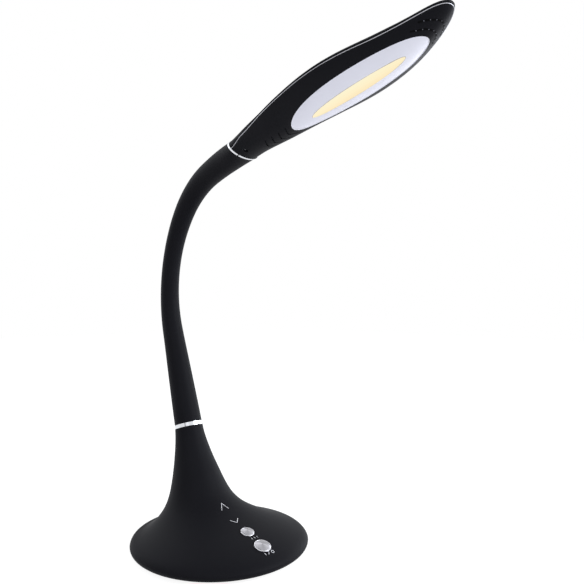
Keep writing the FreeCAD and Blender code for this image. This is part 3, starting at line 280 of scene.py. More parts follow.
def on_flare(x, y):
    """Points on the front of the flare over places x, y: the share of the circle that passes there is
    found by halving, because the front moves steadily towards the stem with it."""
    low = np.zeros(np.shape(x))
    high = np.full(np.shape(x), 0.6)
    for _ in range(30):
        share = (low + high) / 2
        middle, reach, radius = flare_circle(share)
        here = middle[..., 0] + reach[..., 0] * np.sqrt(np.maximum(1 - (y / radius) ** 2, 0))
        low = np.where(here > x, share, low)
        high = np.where(here > x, high, share)
    bow = np.sqrt(np.maximum(1 - (y / radius) ** 2, 0))
    return np.stack([middle[..., 0] + reach[..., 0] * bow, y, middle[..., 1] + reach[..., 1] * bow], -1)


def flare_normal(x, y, step=0.5):
    """Unit normals of the flare from two short steps along it."""
    ahead = on_flare(x + step, y) - on_flare(x - step, y)
    aside = on_flare(x, y + step) - on_flare(x, y - step)
    normal = np.cross(ahead, aside)
    return normal / np.linalg.norm(normal, axis=-1, keepdims=True)


# Meshes
def grid_faces(rows, columns, closed):
    """Quads of a grid whose columns may close on themselves."""
    i, j = np.meshgrid(np.arange(rows - 1), np.arange(columns if closed else columns - 1), indexing="ij")
    k = (j + 1) % columns
    return np.stack(
        [i * columns + j, i * columns + k, (i + 1) * columns + k, (i + 1) * columns + j],
        -1,
    ).reshape(-1, 4)


def slab_faces(rows, columns):
    """Quads of a closed slab: a grid of top points, the same grid below it and walls round their edge."""
    top = grid_faces(rows, columns, False)
    rim = list(range(columns)) + [r * columns + columns - 1 for r in range(1, rows)]
    rim += [(rows - 1) * columns + c for c in range(columns - 2, -1, -1)]
    rim = np.array(rim + [r * columns for r in range(rows - 2, 0, -1)])
    after = np.roll(rim, -1)
    size = rows * columns
    walls = np.stack([rim, rim + size, after + size, after], -1)
    return np.concatenate([top + size, top[:, ::-1], walls])


def finish_mesh(name, points, faces, sharp=35.0):
    """Mesh in metres from points in millimetres, smooth but for edges sharper than an angle."""
    mesh = bpy.data.meshes.new(name)
    mesh.from_pydata((np.asarray(points).reshape(-1, 3) * MM).tolist(), [], [list(f) for f in faces])
    mesh.update()
    mesh.shade_smooth()
    mesh.set_sharp_from_angle(angle=math.radians(sharp))
    made = bpy.data.objects.new(name, mesh)
    bpy.context.scene.collection.objects.link(made)
    return made


def tube_mesh(name, rows):
    """Closed tube from rings of points, rows by columns, with flat caps at both ends."""
    rows = np.asarray(rows)
    count, columns = rows.shape[:2]
    faces = [tuple(f) for f in grid_faces(count, columns, True)]
    faces.append(tuple(range(columns))[::-1])
    faces.append(tuple((count - 1) * columns + k for k in range(columns)))
    return finish_mesh(name, rows, faces)


def ring_tube(name, centre, across, up, radius, sides=8):
    """Closed wire ring: a small circle carried along a closed line, in the plane of two directions."""
    turn = np.linspace(0, 2 * np.pi, sides, endpoint=False)
    rows = centre[:, None] + radius * (
        np.cos(turn)[None, :, None] * across[:, None] + np.sin(turn)[None, :, None] * up[:, None]
    )
    count = len(centre)
    faces = grid_faces(count + 1, sides, True) % (count * sides)
    return finish_mesh(name, rows, faces)


def ribbon(line, width, thick, spread):
    """Undersides and tops of a flat stroke that lies on the flare along a line of x, y places."""
    line = np.asarray(line, float)
    run = np.gradient(line, axis=0)
    run /= np.linalg.norm(run, axis=1, keepdims=True)
    side = np.stack([-run[:, 1], run[:, 0]], 1) * width / 2
    share = np.linspace(-1, 1, spread)
    flat = line[:, None] + side[:, None] * share[None, :, None]
    low = on_flare(flat[..., 0], flat[..., 1])
    normal = flare_normal(flat[..., 0], flat[..., 1])
    return low - normal * thick, low + normal * thick


def plate_mesh(name, strokes, width, thick, spread=3):
    """Printed strokes joined in one mesh: each is a thin closed slab laid on the flare."""
    points = []
    faces = []
    start = 0
    for line in strokes:
        low, high = ribbon(line, width, thick, spread)
        rows, columns = low.shape[:2]
        faces.append(slab_faces(rows, columns) + start)
        points += [low.reshape(-1, 3), high.reshape(-1, 3)]
        start += 2 * rows * columns
    return finish_mesh(name, np.concatenate(points), np.concatenate(faces))


def merged_copy(name, node, sharp=28.0):
    """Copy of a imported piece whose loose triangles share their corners, so that it shades smoothly."""
    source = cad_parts[node].data
    points = np.zeros(len(source.vertices) * 3)
    source.vertices.foreach_get("co", points)
    corners = np.zeros(len(source.loops), int)
    source.loops.foreach_get("vertex_index", corners)
    keys, index = np.unique(
        np.round(points.reshape(-1, 3) / 2e-6).astype(np.int64),
        axis=0,
        return_inverse=True,
    )
    triangles = index.reshape(-1)[corners].reshape(-1, 3)
    whole = (triangles[:, 0] != triangles[:, 1]) & (triangles[:, 1] != triangles[:, 2])
    whole &= triangles[:, 0] != triangles[:, 2]
    return finish_mesh(name, keys * 2e-6 / MM, triangles[whole], sharp)


# Materials
class Value:
    """A shader value: arithmetic on it adds the Math nodes."""

    def __init__(self, tree, socket):
        self.tree = tree
        self.socket = socket

    def math(self, operation, *others):
        return self.tree.node("ShaderNodeMath", {"operation": operation}, [self, *others])

    def __add__(self, other):
        return self.math("ADD", other)

    def __radd__(self, other):
        return self.math("ADD", other)

    def __mul__(self, other):
        return self.math("MULTIPLY", other)

    def __rmul__(self, other):
        return self.math("MULTIPLY", other)

    def __truediv__(self, other):
        return self.math("DIVIDE", other)

    def clamp(self):
        return self.tree.node("ShaderNodeClamp", {}, [self])


class Finish:
    """A material on a Principled surface, with one method that adds any other node."""

    def __init__(self, name, **constants):
        self.material = bpy.data.materials.new(name)
        self.material.use_nodes = True
        self.nodes = self.material.node_tree.nodes
        self.links = self.material.node_tree.links
        self.surface = self.nodes["Principled BSDF"]
        for label, value in constants.items():
            self.surface.inputs[label.replace("_", " ")].default_value = value

    def node(self, kind, settings, inputs=(), out=0):
        """Add a node, set what it is, then its input values or links, and give one of its outputs."""
        made = self.nodes.new(kind)
        for label, value in settings.items():
            if label == "stops":
                self.set_stops(made.color_ramp, value)
            else:
                setattr(made, label, value)
        pairs = inputs.items() if isinstance(inputs, dict) else enumerate(inputs)
        for place, value in pairs:
            if isinstance(value, Value):
                self.links.new(value.socket, made.inputs[place])
            else:
                made.inputs[place].default_value = value
        return Value(self, made.outputs[out])

    def set_stops(self, ramp, stops):
        """Give a colour ramp exactly these positions and colours."""
        while len(ramp.elements) > len(stops):
            ramp.elements.remove(ramp.elements[-1])
        while len(ramp.elements) < len(stops):
            ramp.elements.new(1.0)
        for element, (position, colour) in zip(ramp.elements, stops):
            element.position = position
            element.color = colour

    def place(self):
        """Place in the object's own coordinates."""
        return self.node("ShaderNodeTexCoord", {}, out=3)

    def noise(self, scale, detail=3.0, place=None):
        """Cloudy noise, from 0 to 1."""
        where = place or self.place()
        settings = {"noise_dimensions": "3D"}
        return self.node(
            "ShaderNodeTexNoise",
            settings,
            {"Vector": where, "Scale": scale, "Detail": detail},
        )

    def stretched(self, scales):
        """Place with its three axes scaled, so that noise on it is drawn out along the least scaled one."""
        return self.node("ShaderNodeMapping", {}, {"Vector": self.place(), "Scale": scales})

    def blend_colours(self, share, first, second):
        """Colour between two others."""
        settings = {"data_type": "RGBA"}
        inputs = {"Factor": share, 6: first, 7: second}
        return self.node("ShaderNodeMix", settings, inputs, out=2)

    def bump(self, height, distance, strength=0.3):
        """Feed the surface's normal from a height."""
        made = self.node(
            "ShaderNodeBump",
            {},
            {"Height": height, "Distance": distance, "Strength": strength},
        )
        self.feed("Normal", made)

    def feed(self, label, value):
        """Link a value to one of the surface's inputs."""
        self.links.new(value.socket, self.surface.inputs[label])


def linear(colour):
    """Linear light values of a colour given as 0 to 255 on screen, with full opacity."""
    share = np.array(colour, float) / 255
    light = np.where(share <= 0.04045, share / 12.92, ((share + 0.055) / 1.055) ** 2.4)
    return (*[float(v) for v in light], 1.0)


def mottled(name, colour, rough, grain, swing=0.12, depth=0.00002, **constants):
    """Moulded finish: colour and roughness drift a little, with a fine grain in the surface."""
    finish = Finish(name, **constants)
    drift = finish.noise(35.0, 4.0)
    fine = finish.noise(grain, 2.0)
    light = tuple(min(c * (1 + swing), 1.0) for c in linear(colour)[:3]) + (1.0,)
    dark = tuple(c * (1 - swing) for c in linear(colour)[:3]) + (1.0,)
    finish.feed("Base Color", finish.blend_colours(drift, dark, light))
    finish.feed("Roughness", rough - 0.04 + drift * 0.05 + fine * 0.03)
    finish.bump(fine, depth)
    return finish.material


def soft_black(name, look):
    """Soft-touch black plastic with a faint cool bloom at glancing angles."""
    return mottled(
        name,
        look.black,
        look.black_roughness,
        2600.0,
        Specular_IOR_Level=look.gloss,
        Sheen_Weight=look.bloom,
        Sheen_Roughness=0.5,
        Sheen_Tint=(0.7, 0.8, 1.0, 1.0),
    )


def brushed(name, colour, rough, scales, metallic=1.0):
    """Metal with fine lines drawn along one way."""
    finish = Finish(name, Metallic=metallic)
    lines = finish.noise(1.0, 4.0, finish.stretched(scales))
    drift = finish.noise(60.0)
    light = tuple(min(c * 1.08, 1.0) for c in linear(colour)[:3]) + (1.0,)
    dark = tuple(c * 0.86 for c in linear(colour)[:3]) + (1.0,)
    finish.feed("Base Color", finish.blend_colours(lines, dark, light))
    finish.feed("Roughness", rough + lines * 0.08 + drift * 0.04)
    finish.bump(lines, 0.00001, 0.2)
    return finish.material


def spun_with_painted_reflection(name, colour, x):
    """Turned metal cap round a place x: faint rings, and painted reflection as light and dark wedge-shaped
    sectors about its middle.
    """
    finish = Finish(name, Metallic=1.0)
    spot = finish.node(
        "ShaderNodeMapping",
        {},
        {"Vector": finish.place(), "Location": (-x * MM, 0.0, 0.0)},
    )
    turn = finish.node("ShaderNodeTexGradient", {"gradient_type": "RADIAL"}, {"Vector": spot}, out=1)
    # Painted reflection: the base colour is lightened and darkened in wedge-shaped sectors round the cap's
    # middle, in place of the highlights of turned metal.
    painted_reflection_shades = [(0.0, 0.84), (0.13, 1.5), (0.28, 1.05), (0.42, 0.8), (0.6, 1.2), (0.75, 0.78), (1.0, 0.84)]
    stops = [
        (at, tuple(min(c * shade, 1.0) for c in linear(colour)[:3]) + (1.0,))
        for at, shade in painted_reflection_shades
    ]
    painted_reflection_wedges = finish.node("ShaderNodeValToRGB", {"stops": stops}, {"Fac": turn})
    rings = {"wave_type": "RINGS", "rings_direction": "Z"}
    fine = finish.node("ShaderNodeTexWave", rings, {"Vector": spot, "Scale": 350.0}, out=1)
    finish.feed("Base Color", painted_reflection_wedges)
    finish.feed("Roughness", 0.24 + fine * 0.03)
    return finish.material


def glowing(name, look):
    """Milky window lit from behind: pale yellow along its near side, warmer along its far side."""
    finish = Finish(name, Roughness=0.35, Emission_Strength=look.glow, Specular_IOR_Level=0.05)
    side = finish.node("ShaderNodeSeparateXYZ", {}, [finish.place()], out=1)
    share = (side / (2 * WINDOW[2] * MM) + 0.5).clamp()
    fine = finish.noise(90.0, 2.0)
    stops = [
        (0.0, linear(look.window_near)),
        (0.5, linear(look.window_middle)),
        (1.0, linear(look.window_far)),
    ]
    warm = finish.node("ShaderNodeValToRGB", {"stops": stops}, {"Fac": share})
    bright = finish.blend_colours(fine * 0.1, warm, linear((255, 250, 232)))
    finish.feed("Emission Color", bright)
    finish.surface.inputs["Base Color"].default_value = (0.02, 0.018, 0.014, 1.0)
    return finish.material


def put(piece, body, material):
    """Give a finished piece its material in its one slot and, when a body is given, the body that it rides
    on.
    """
    piece.data.materials.clear()
    piece.data.materials.append(material)
    if body:
        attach(piece, body)
    return piece


def dress(material, *nodes):
    """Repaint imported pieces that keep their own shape."""
    for node in nodes:
        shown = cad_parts[node]
        if not shown.material_slots:
            shown.data.materials.append(material)
        shown.material_slots[0].material = material


def smooth_node(name, node, body, material):
    """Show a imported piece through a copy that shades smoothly."""
    piece = put(merged_copy(name, node), body, material)
    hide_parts(node)


# Settings that a user would change
class LampSizes(bpy.types.PropertyGroup):
    """Sizes of the printed and applied trim."""

    stroke: bpy.props.FloatProperty(
        name="Stroke", description="Width of the printed chevron strokes",
        default=0.00048, unit="LENGTH", precision=5,
    )
    print_thick: bpy.props.FloatProperty(
        name="Print thickness", description="Height of printed marks over the foot",
        default=0.00011, unit="LENGTH",
    )
    # The seam wire is a painted highlight of the shells' parting edge.
    seam: bpy.props.FloatProperty(
        name="Seam line", description="Radius of the bright line between the head shells",
        default=0.00028, unit="LENGTH",
    )
    rim: bpy.props.FloatProperty(
        name="Panel rim", description="Radius of the bright line round the light panel",
        default=0.00032, unit="LENGTH",
    )
    neck_sides: bpy.props.IntProperty(
        name="Neck sides", description="Columns of the neck's mesh", default=72, min=24, max=160
    )


class LampLook(bpy.types.PropertyGroup):
    """Colours and gloss of the finishes, colours as 0 to 255 on screen."""

    black: bpy.props.FloatVectorProperty(
        name="Black", description="Soft-touch plastic", default=(19.0, 19.0, 23.0), min=0, max=255
    )
    gloss: bpy.props.FloatProperty(
        name="Gloss", description="Strength of the soft-touch plastic's reflection",
        default=0.05, subtype="FACTOR",
    )
    black_roughness: bpy.props.FloatProperty(
        name="Black roughness", description="Roughness of the soft-touch plastic",
        default=0.55, subtype="FACTOR",
    )
    bloom: bpy.props.FloatProperty(
        name="Bloom", description="Strength of the cool bloom at glancing angles",
        default=0.01, subtype="FACTOR",
    )
    silver: bpy.props.FloatVectorProperty(
        name="Silver", description="Button caps", default=(176.0, 176.0, 182.0), min=0, max=255
    )
    panel: bpy.props.FloatVectorProperty(
        name="Panel", description="Leaf-shaped light panel", default=(184.0, 184.0, 194.0), min=0, max=255
    )
    window_near: bpy.props.FloatVectorProperty(
        name="Window near", description="Glow along the window's near side", default=(
            253.0,
            244.0,
            208.0,
        ), min=0, max=255
    )
    window_middle: bpy.props.FloatVectorProperty(
        name="Window middle", description="Glow along the window's middle", default=(
            253.0,
            238.0,
            196.0,
        ), min=0, max=255
    )
    window_far: bpy.props.FloatVectorProperty(
        name="Window far", description="Glow along the window's far side", default=(
            248.0,
            224.0,
            176.0,
        ), min=0, max=255
    )
    glow: bpy.props.FloatProperty(
        name="Glow",
        description="Strength of the window's light",
        default=0.97,
        min=0,
    )
    # Painted glow: an even emission that brightens the panel, which is no lamp, in place of light falling on
    # it.
    panel_painted_glow: bpy.props.FloatProperty(
        name="Panel glow", description="Strength of the light that spreads into the panel",
        default=0.5, min=0,
    )


# Operators
class LAMP_OT_foot(bpy.types.Operator):
    """Foot shell with its smooth finish, cover, rubber feet, ballast and screws"""

    bl_idname = "lamp.foot"
    bl_label = "Foot"

    def execute(self, context):
        look = context.scene.lamp_look
        black = soft_black("foot_black", look)
        smooth_node("foot_shell", "base_shell", "base", black)
        dress(mottled("cover_black", (30, 30, 32), 0.6, 1500.0), "base_cover")
        dress(mottled("foot_rubber", (40, 40, 41), 0.75, 900.0), "rubber_feet")
        zinc = brushed("zinc_steel", (168, 170, 174), 0.32, (400.0, 40.0, 400.0))
        dress(
            zinc,
            "ballast_plate",
            "cover_screws",
            "neck_socket",
            "stem_nut",
            "head_screws",
            "head_socket",
        )
        return {"FINISHED"}


class LAMP_OT_controls(bpy.types.Operator):
    """Push buttons, touch marks, printed signs and the board under them"""

    bl_idname = "lamp.controls"
    bl_label = "Controls"

    def execute(self, context):
        look = context.scene.lamp_look
        sizes = context.scene.lamp_sizes
        bright = brushed("button_edge", (236, 236, 240), 0.15, (200.0, 200.0, 200.0))
        for label in BUTTONS:
            turned = spun_with_painted_reflection(label + "_silver", look.silver, BUTTONS[label][0])
            smooth_node(label + "_cap", label, label, turned)
            button_rim(label, bright)
        white = mottled("print_white", (226, 226, 230), 0.5, 1800.0)
        width = sizes.stroke / MM
        thick = sizes.print_thick / MM
        chevrons = [chevron(*mark) for mark in CHEVRONS]
        put(plate_mesh("touch_marks", chevrons, width, thick), "base", white)
        signs = mode_sign(*MODE_SIGN) + power_sign(*POWER_SIGN)
        put(plate_mesh("button_signs", signs, width * 0.8, thick), "base", white)
        dress(mottled("board_green", (30, 92, 54), 0.4, 700.0), "control_board")
        dress(mottled("switch_black", (28, 28, 28), 0.5, 900.0), "tact_switches", "power_inlet")
        dress(mottled("pad_foam", (62, 62, 66), 0.9, 500.0), "touch_pads")
        dress(mottled("lead_black", (24, 24, 24), 0.55, 900.0), "base_lead", "led_lead")
        return {"FINISHED"}


def button_rim(label, material, wire=0.24):
    """Bright edge of a cap: a wire circle square to the flare's normal at the button's place."""
    x, radius = BUTTONS[label]
    place = on_flare(np.array(x), np.array(0.0))
    normal = flare_normal(np.array(x), np.array(0.0))
    ahead = np.cross(HEAD_ACROSS, normal)
    turn = np.linspace(0, 2 * np.pi, 72, endpoint=False)[:, None]
    outward = np.cos(turn) * ahead + np.sin(turn) * HEAD_ACROSS
    centre = place + normal * BUTTON_LEVEL + outward * (radius - wire - RIM_INSET)
    rim = ring_tube(label + "_rim", centre, outward, np.broadcast_to(normal, centre.shape), wire)
    put(rim, label, material)


def chevron(apex, reach, side, count=9):
    """Line of x, y places for an arrow mark: out along one arm, round its point and back."""
    arm = np.linspace(1, 0, count)
    places = np.stack([apex + reach * arm, side * arm], 1)
    other = places[-2::-1] * np.array([1.0, -1.0])
    return np.concatenate([places, other])


def circle_line(x, y, radius, count=25):
    """Line of x, y places round a ring, which stops a degree short of its start."""
    turn = np.radians(np.linspace(0, 359, count))
    return np.stack([x + radius * np.cos(turn), y + radius * np.sin(turn)], 1)


def straight_line(start, end, count=7):
    """Line of x, y places in even steps from one place to another."""
    share = np.linspace(0, 1, count)[:, None]
    return np.array(start) * (1 - share) + np.array(end) * share


def mode_sign(x, y):
    """Three short bars in a row, for the steps that the button goes through."""
    return [straight_line((x - 1.0, y + k * 3.1), (x + 1.0, y + k * 3.1)) for k in (-1, 0, 1)]


def power_sign(x, y):
    """Bar, slash and ring: the usual on and off signs."""
    bar = straight_line((x - 1.3, y - 4.6), (x + 1.3, y - 4.6))
    slash = straight_line((x + 1.5, y - 1.6), (x - 1.5, y + 0.6))
    return [bar, slash, circle_line(x, y + 4.0, 1.35)]


class LAMP_OT_neck(bpy.types.Operator):
    """Smooth sleeve of the neck in lengths that bend across one joint each"""

    bl_idname = "lamp.neck"
    bl_label = "Neck"

    def execute(self, context):
        look = context.scene.lamp_look
        sides = context.scene.lamp_sizes.neck_sides
        rubber = soft_black("neck_rubber", look)
        for k in range(JOINTS):
            low, high = joint_span(k, RING_HALF + SEAT_GAP, NECK_LENGTH)
            piece = tube_mesh("neck_skin_%d" % (k + 1), neck_rows(low, high, sides, k == JOINTS - 1))
            put(piece, None, rubber)
            nodes = ["neck_sleeve_%d" % (k + 1)] + (["neck_sleeve_8"] if k == JOINTS - 1 else [])
            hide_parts(*nodes)
            follow_joint(piece, k)
        wound = brushed("wound_steel", (130, 131, 134), 0.4, (60.0, 60.0, 900.0))
        dress(wound, *["neck_core_%d" % k for k in range(1, JOINTS + 2)])
        sheath = mottled("cable_black", (24, 24, 24), 0.55, 900.0)
        for k in range(JOINTS):
            low, high = joint_span(k, CABLE_ENDS[0], NECK_LENGTH + CABLE_ENDS[1])
            piece = put(
                tube_mesh("cable_run_%d" % (k + 1), cable_rows(low, high)),
                None,
                sheath,
            )
            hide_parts("neck_cable")
            follow_joint(piece, k)
        return {"FINISHED"}


def joint_span(k, first, last):
    """Where the length round joint k starts and stops: halfway to its neighbours, or at the neck's ends."""
    joint = FIRST_JOINT + JOINT_PITCH * k
    return first if k == 0 else joint - JOINT_PITCH / 2, last if k == JOINTS - 1 else joint + JOINT_PITCH / 2


def follow_joint(piece, k):
    """Bake a length of the neck into the lamp's frame; the ends of its bend round joint k, from the body
    below it to the body above it, are worked out but not used.
    """
    joint = FIRST_JOINT + JOINT_PITCH * k
    start, end = (neck_line(joint + way * BEND_REACH)[:2] for way in (-1, 1))
    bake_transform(piece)


def round_sections(x, z, heading, thick, across, turn):
    """Round or oval sections square to the neck's centre line, from its points and headings."""
    return np.stack(
        [
            x - thick * np.cos(turn) * np.cos(heading),
            across * np.sin(turn),
            z + thick * np.cos(turn) * np.sin(heading),
        ],
        -1,
    )


def cable_rows(low, high, sides=12):
    """Round sections of the lead, square to the neck's centre line."""
    turn = np.linspace(0, 2 * np.pi, sides, endpoint=False)[None, :]
    x, z, heading = neck_line(np.linspace(low, high, 25)[:, None])
    return round_sections(x, z, heading, CABLE_RADIUS + 0 * x, CABLE_RADIUS + 0 * x, turn)


def neck_rows(low, high, sides, last):
    """Rings of the sleeve: round sections square to the centre line, which widen to an oval at the
    head, where the last ring lies in the slanted plane of the upper ring."""
    turn = np.linspace(0, 2 * np.pi, sides, endpoint=False)[None, :]
    share = np.linspace(0, 1, 41)[:, None]
    slant = math.tan(math.radians(UPPER_RING_TILT))
    end = high + np.zeros_like(turn)
    if last:
        end = high - UPPER_RING_HALF - SEAT_GAP - slant * NECK_END[1] * np.cos(turn)
    along = low + (end - low) * share
    radius = stations(NECK_RADII, along / (NECK_RADIUS_STEP * (len(NECK_RADII) - 1)))
    begin = FIRST_JOINT + JOINT_PITCH * (JOINTS - 1)
    share = (along - begin) / (NECK_LENGTH - begin)
    grow = np.clip((share - OVAL_FROM) / (1 - OVAL_FROM), 0, 1) ** 2
    across = radius + (NECK_END[0] - NECK_RADII[-1]) * grow
    thick = radius + (NECK_END[1] - NECK_RADII[-1]) * grow
    x, z, heading = neck_line(along)
    return round_sections(x, z, heading, thick, across, turn)


class LAMP_OT_rings(bpy.types.Operator):
    """Bright rings that end the stem and the neck"""

    bl_idname = "lamp.rings"
    bl_label = "Rings"

    def execute(self, context):
        chrome = brushed("ring_chrome", (222, 224, 228), 0.1, (40.0, 40.0, 900.0))
        smooth_node("stem_ring", "lower_ring", "base", chrome)
        smooth_node("head_ring", "upper_ring", "head", chrome)
        return {"FINISHED"}


class LAMP_OT_head(bpy.types.Operator):
    """Head shells with grooves and screw dimples, and a bright wire along their seam as its painted highlight
    """

    bl_idname = "lamp.head"
    bl_label = "Head"

    def execute(self, context):
        look = context.scene.lamp_look
        black = soft_black("head_black", look)
        smooth_node("upper_shell", "head_upper_shell", "head", black)
        smooth_node("lower_shell", "head_lower_shell", "head", black)
        # Painted highlight: a bright metal wire stands in for the light caught along the shells' parting
        # edge.
        bright = brushed("seam_painted_highlight", (186, 186, 192), 0.3, (300.0, 300.0, 300.0))
        radius = context.scene.lamp_sizes.seam / MM
        put(seam_highlight_wire(radius), "head", bright)
        rows = [slot_places(half) for half in (OUTER_SLOTS, INNER_SLOTS)]
        # Painted shade: near-black strips stand in for the shade inside the slots.
        slot_shade_finish = mottled("slot_painted_shade", (6, 6, 7), 0.7, 900.0, Specular_IOR_Level=0.05)
        put(
            slot_mesh("tip_slots", np.concatenate([spans for spans, _ in rows])),
            "head",
            slot_shade_finish,
        )
        # Painted highlight: light grey beads between the slots stand in for the light caught on the black
        # shell between them.
        web_highlight_finish = mottled("web_painted_highlight", (96, 96, 106), 0.35, 900.0)
        put(
            bead_mesh("slot_webs", np.concatenate([webs for _, webs in rows]), SLOT[2] / 2),
            "head",
            web_highlight_finish,
        )
        return {"FINISHED"}


def seam_highlight_wire(radius):
    """Bright wire along the head's outline at the seam, a painted highlight of the parting edge, from one
    side of the ring round the nose and back: its steps are even along most of the head and shrink towards the
    nose, where the outline turns across."""
    turn = np.linspace(-1.0, 1.0, 401)
    along = SEAM_START + (HEAD_LENGTH - SEAM_START) * (1 - np.abs(turn) ** SEAM_CROWDING)
    across = half_width(along) * SEAM_WIDTH * np.sign(turn)
    along = along * SEAM_LENGTH
    centre = head_points(along, across, underside(along, across) - SEAM_PROUD)
    run = np.gradient(centre, axis=0)
    run /= np.linalg.norm(run, axis=1, keepdims=True)
    outward = np.cross(run, np.broadcast_to(HEAD_UP, run.shape))
    outward /= np.linalg.norm(outward, axis=1, keepdims=True)
    up = np.cross(outward, run)
    angle = np.linspace(0, 2 * np.pi, 8, endpoint=False)[None, :, None]
    rows = centre[:, None] + radius * (np.cos(angle) * outward[:, None] + np.sin(angle) * up[:, None])
    return tube_mesh("seam_highlight_wire", rows)


def slot_places(half):
    """Slots and webs of one row: even steps of arc length from the apex along half of its line, and their
    mirror images across the middle of the head."""
    share = np.linspace(0, 1, 400)
    line = np.stack([stations([point[k] for point in half], share) for k in (0, 1)], -1)
    length = np.concatenate([[0.0], np.cumsum(np.linalg.norm(np.diff(line, axis=0), axis=1))])
    step = SLOT[0] + SLOT[2]
    starts = SLOT[2] / 2 + np.arange(SLOTS_ASIDE) * step
    spans = starts[:, None] + np.linspace(0, SLOT[0], 9)[None, :]
    webs = np.arange(1, SLOTS_ASIDE) * step
    aside = [
        np.stack([np.interp(where, length, line[:, k]) for k in (0, 1)], -1)
        for where in (spans, webs)
    ]
    mirror = np.array([1.0, -1.0])
    apex = np.array([half[0]])
    return np.concatenate([aside[0], aside[0] * mirror]), np.concatenate(
        [apex, aside[1], aside[1] * mirror]
    )


def slot_mesh(name, spans):
    """Dark floors of the slots: each is a strip with round ends laid just proud of the underside, painted
    near black as the shade inside the slot.
    """
    taper = np.sqrt(
        np.maximum(1 - np.abs(np.linspace(-1, 1, spans.shape[1])) ** 8, 0.05)
    )[None, :, None, None]
    run = np.gradient(spans, axis=1)
    run /= np.linalg.norm(run, axis=2, keepdims=True)
    side = np.stack([-run[..., 1], run[..., 0]], -1)[:, :, None] * taper * SLOT[1] / 2
    flat = spans[:, :, None] + side * np.linspace(-1, 1, 3)[None, None, :, None]
    along, across = flat[..., 0], flat[..., 1]
    level = underside(along, across)
    low = head_points(along, across, level - SLOT_PROUD)
    high = head_points(along, across, level + SLOT_SUNK)
    rows, columns = flat.shape[1:3]
    shape = slab_faces(rows, columns)
    points = np.stack([low.reshape(len(spans), -1, 3), high.reshape(len(spans), -1, 3)], 1)
    faces = np.concatenate([shape + 2 * rows * columns * k for k in range(len(spans))])
    return finish_mesh(name, points, faces)


def bead_mesh(name, places, radius, rings=5, sides=10):
    """Small round webs between the slots: half-sunk balls worked out from two turns."""
    turn = np.linspace(0, 2 * np.pi, sides, endpoint=False)[None, :]
    tilt = np.linspace(-0.5, 0.5, rings + 2)[1:-1, None] * np.pi
    ball = np.stack(
        [np.cos(tilt) * np.cos(turn), np.cos(tilt) * np.sin(turn), np.sin(tilt) + 0 * turn],
        -1,
    )
    ball = ball.reshape(-1, 3) * radius
    centre = head_points(places[:, 0], places[:, 1], underside(places[:, 0], places[:, 1]) + WEB_SUNK)
    points = centre[:, None] + ball[None]
    size = rings * sides
    starts = [k * size for k in range(len(places))]
    faces = [tuple(f) for start in starts for f in grid_faces(rings, sides, True) + start]
    for start in starts:
        faces.append(tuple(start + np.arange(sides))[::-1])
        faces.append(tuple(start + size - sides + np.arange(sides)))
    return finish_mesh(name, points, faces, 60.0)


def leaf_ring(name, outline, radius, sunk=0.0):
    """Wire round an oval on the recessed panel of the head's underside."""
    middle, half_length, half_across = outline
    turn = np.linspace(0, 2 * np.pi, 240, endpoint=False)
    along = middle + half_length * np.cos(turn)
    across = half_across * np.sin(turn)
    centre = head_points(along, across, underside(along, across, PANEL_RECESS) + sunk)
    run = np.roll(centre, -1, axis=0) - np.roll(centre, 1, axis=0)
    run /= np.linalg.norm(run, axis=1, keepdims=True)
    up = np.broadcast_to(-HEAD_UP, run.shape)
    outward = np.cross(run, up)
    outward /= np.linalg.norm(outward, axis=1, keepdims=True)
    return ring_tube(name, centre, outward, np.cross(outward, run), radius)


class LAMP_OT_light(bpy.types.Operator):
    """Pale leaf panel with a painted glow, its bright rim, the glowing window with a grey line of painted
    shade round it, and what lights it
    """

    bl_idname = "lamp.light"
    bl_label = "Light"

    def execute(self, context):
        look = context.scene.lamp_look
        radius = context.scene.lamp_sizes.rim / MM
        # Painted glow: the panel gives off its own colour as light, which brightens it evenly.
        lit = {"Emission_Color": linear(look.panel), "Emission_Strength": look.panel_painted_glow}
        panel = mottled("panel_grey", look.panel, 0.5, 1500.0, swing=0.02, **lit)
        smooth_node("light_panel", "reflector_panel", "head", panel)
        smooth_node("light_window", "window_lens", "head", glowing("window_glow", look))
        bright = mottled("rim_bright", (232, 232, 240), 0.35, 900.0, swing=0.03)
        put(leaf_ring("panel_rim", PANEL, radius), "head", bright)
        # Painted shade: a grey line round the window stands in for the shade along the edge of its recess.
        window_shade_finish = mottled("window_painted_shade_line", (150, 146, 140), 0.5, 900.0)
        put(leaf_ring("window_shade_outline", WINDOW, radius * 0.8, WINDOW_RIM_SUNK), "head", window_shade_finish)
        dress(brushed("plate_aluminium", (180, 181, 184), 0.4, (500.0, 30.0, 500.0)), "heat_plate")
        dress(mottled("board_white", (232, 232, 226), 0.45, 700.0), "led_board")
        dress(mottled("chip_yellow", (240, 208, 92), 0.35, 700.0), "led_chips")
        return {"FINISHED"}


class LAMP_OT_stage(bpy.types.Operator):
    """Pale floor, soft lamps, white surroundings and the camera"""

    bl_idname = "lamp.stage"
    bl_label = "Stage"

    def execute(self, context):
        corners = np.array([[-1, -1], [1, -1], [1, 1], [-1, 1]]) * FLOOR_HALF
        floor = finish_mesh("floor", np.column_stack([corners, np.full(4, FLOOR_LEVEL)]), [(0, 1, 2, 3)])
        floor.data.materials.append(floor_finish())
        for name, settings in LIGHTS.items():
            soft_light(name, *settings)
        surroundings(context.scene)
        add_camera(context.scene)
        context.scene.view_settings.view_transform = "Standard"
        return {"FINISHED"}


def seen_share(finish):
    """1 where the camera, a mirror reflection or glass looks at the surface, else 0."""
    rays = [finish.node("ShaderNodeLightPath", {}, out=name) for name in
            ("Is Camera Ray", "Is Glossy Ray", "Is Transmission Ray")]
    return (rays[0] + rays[1] + rays[2]).clamp()


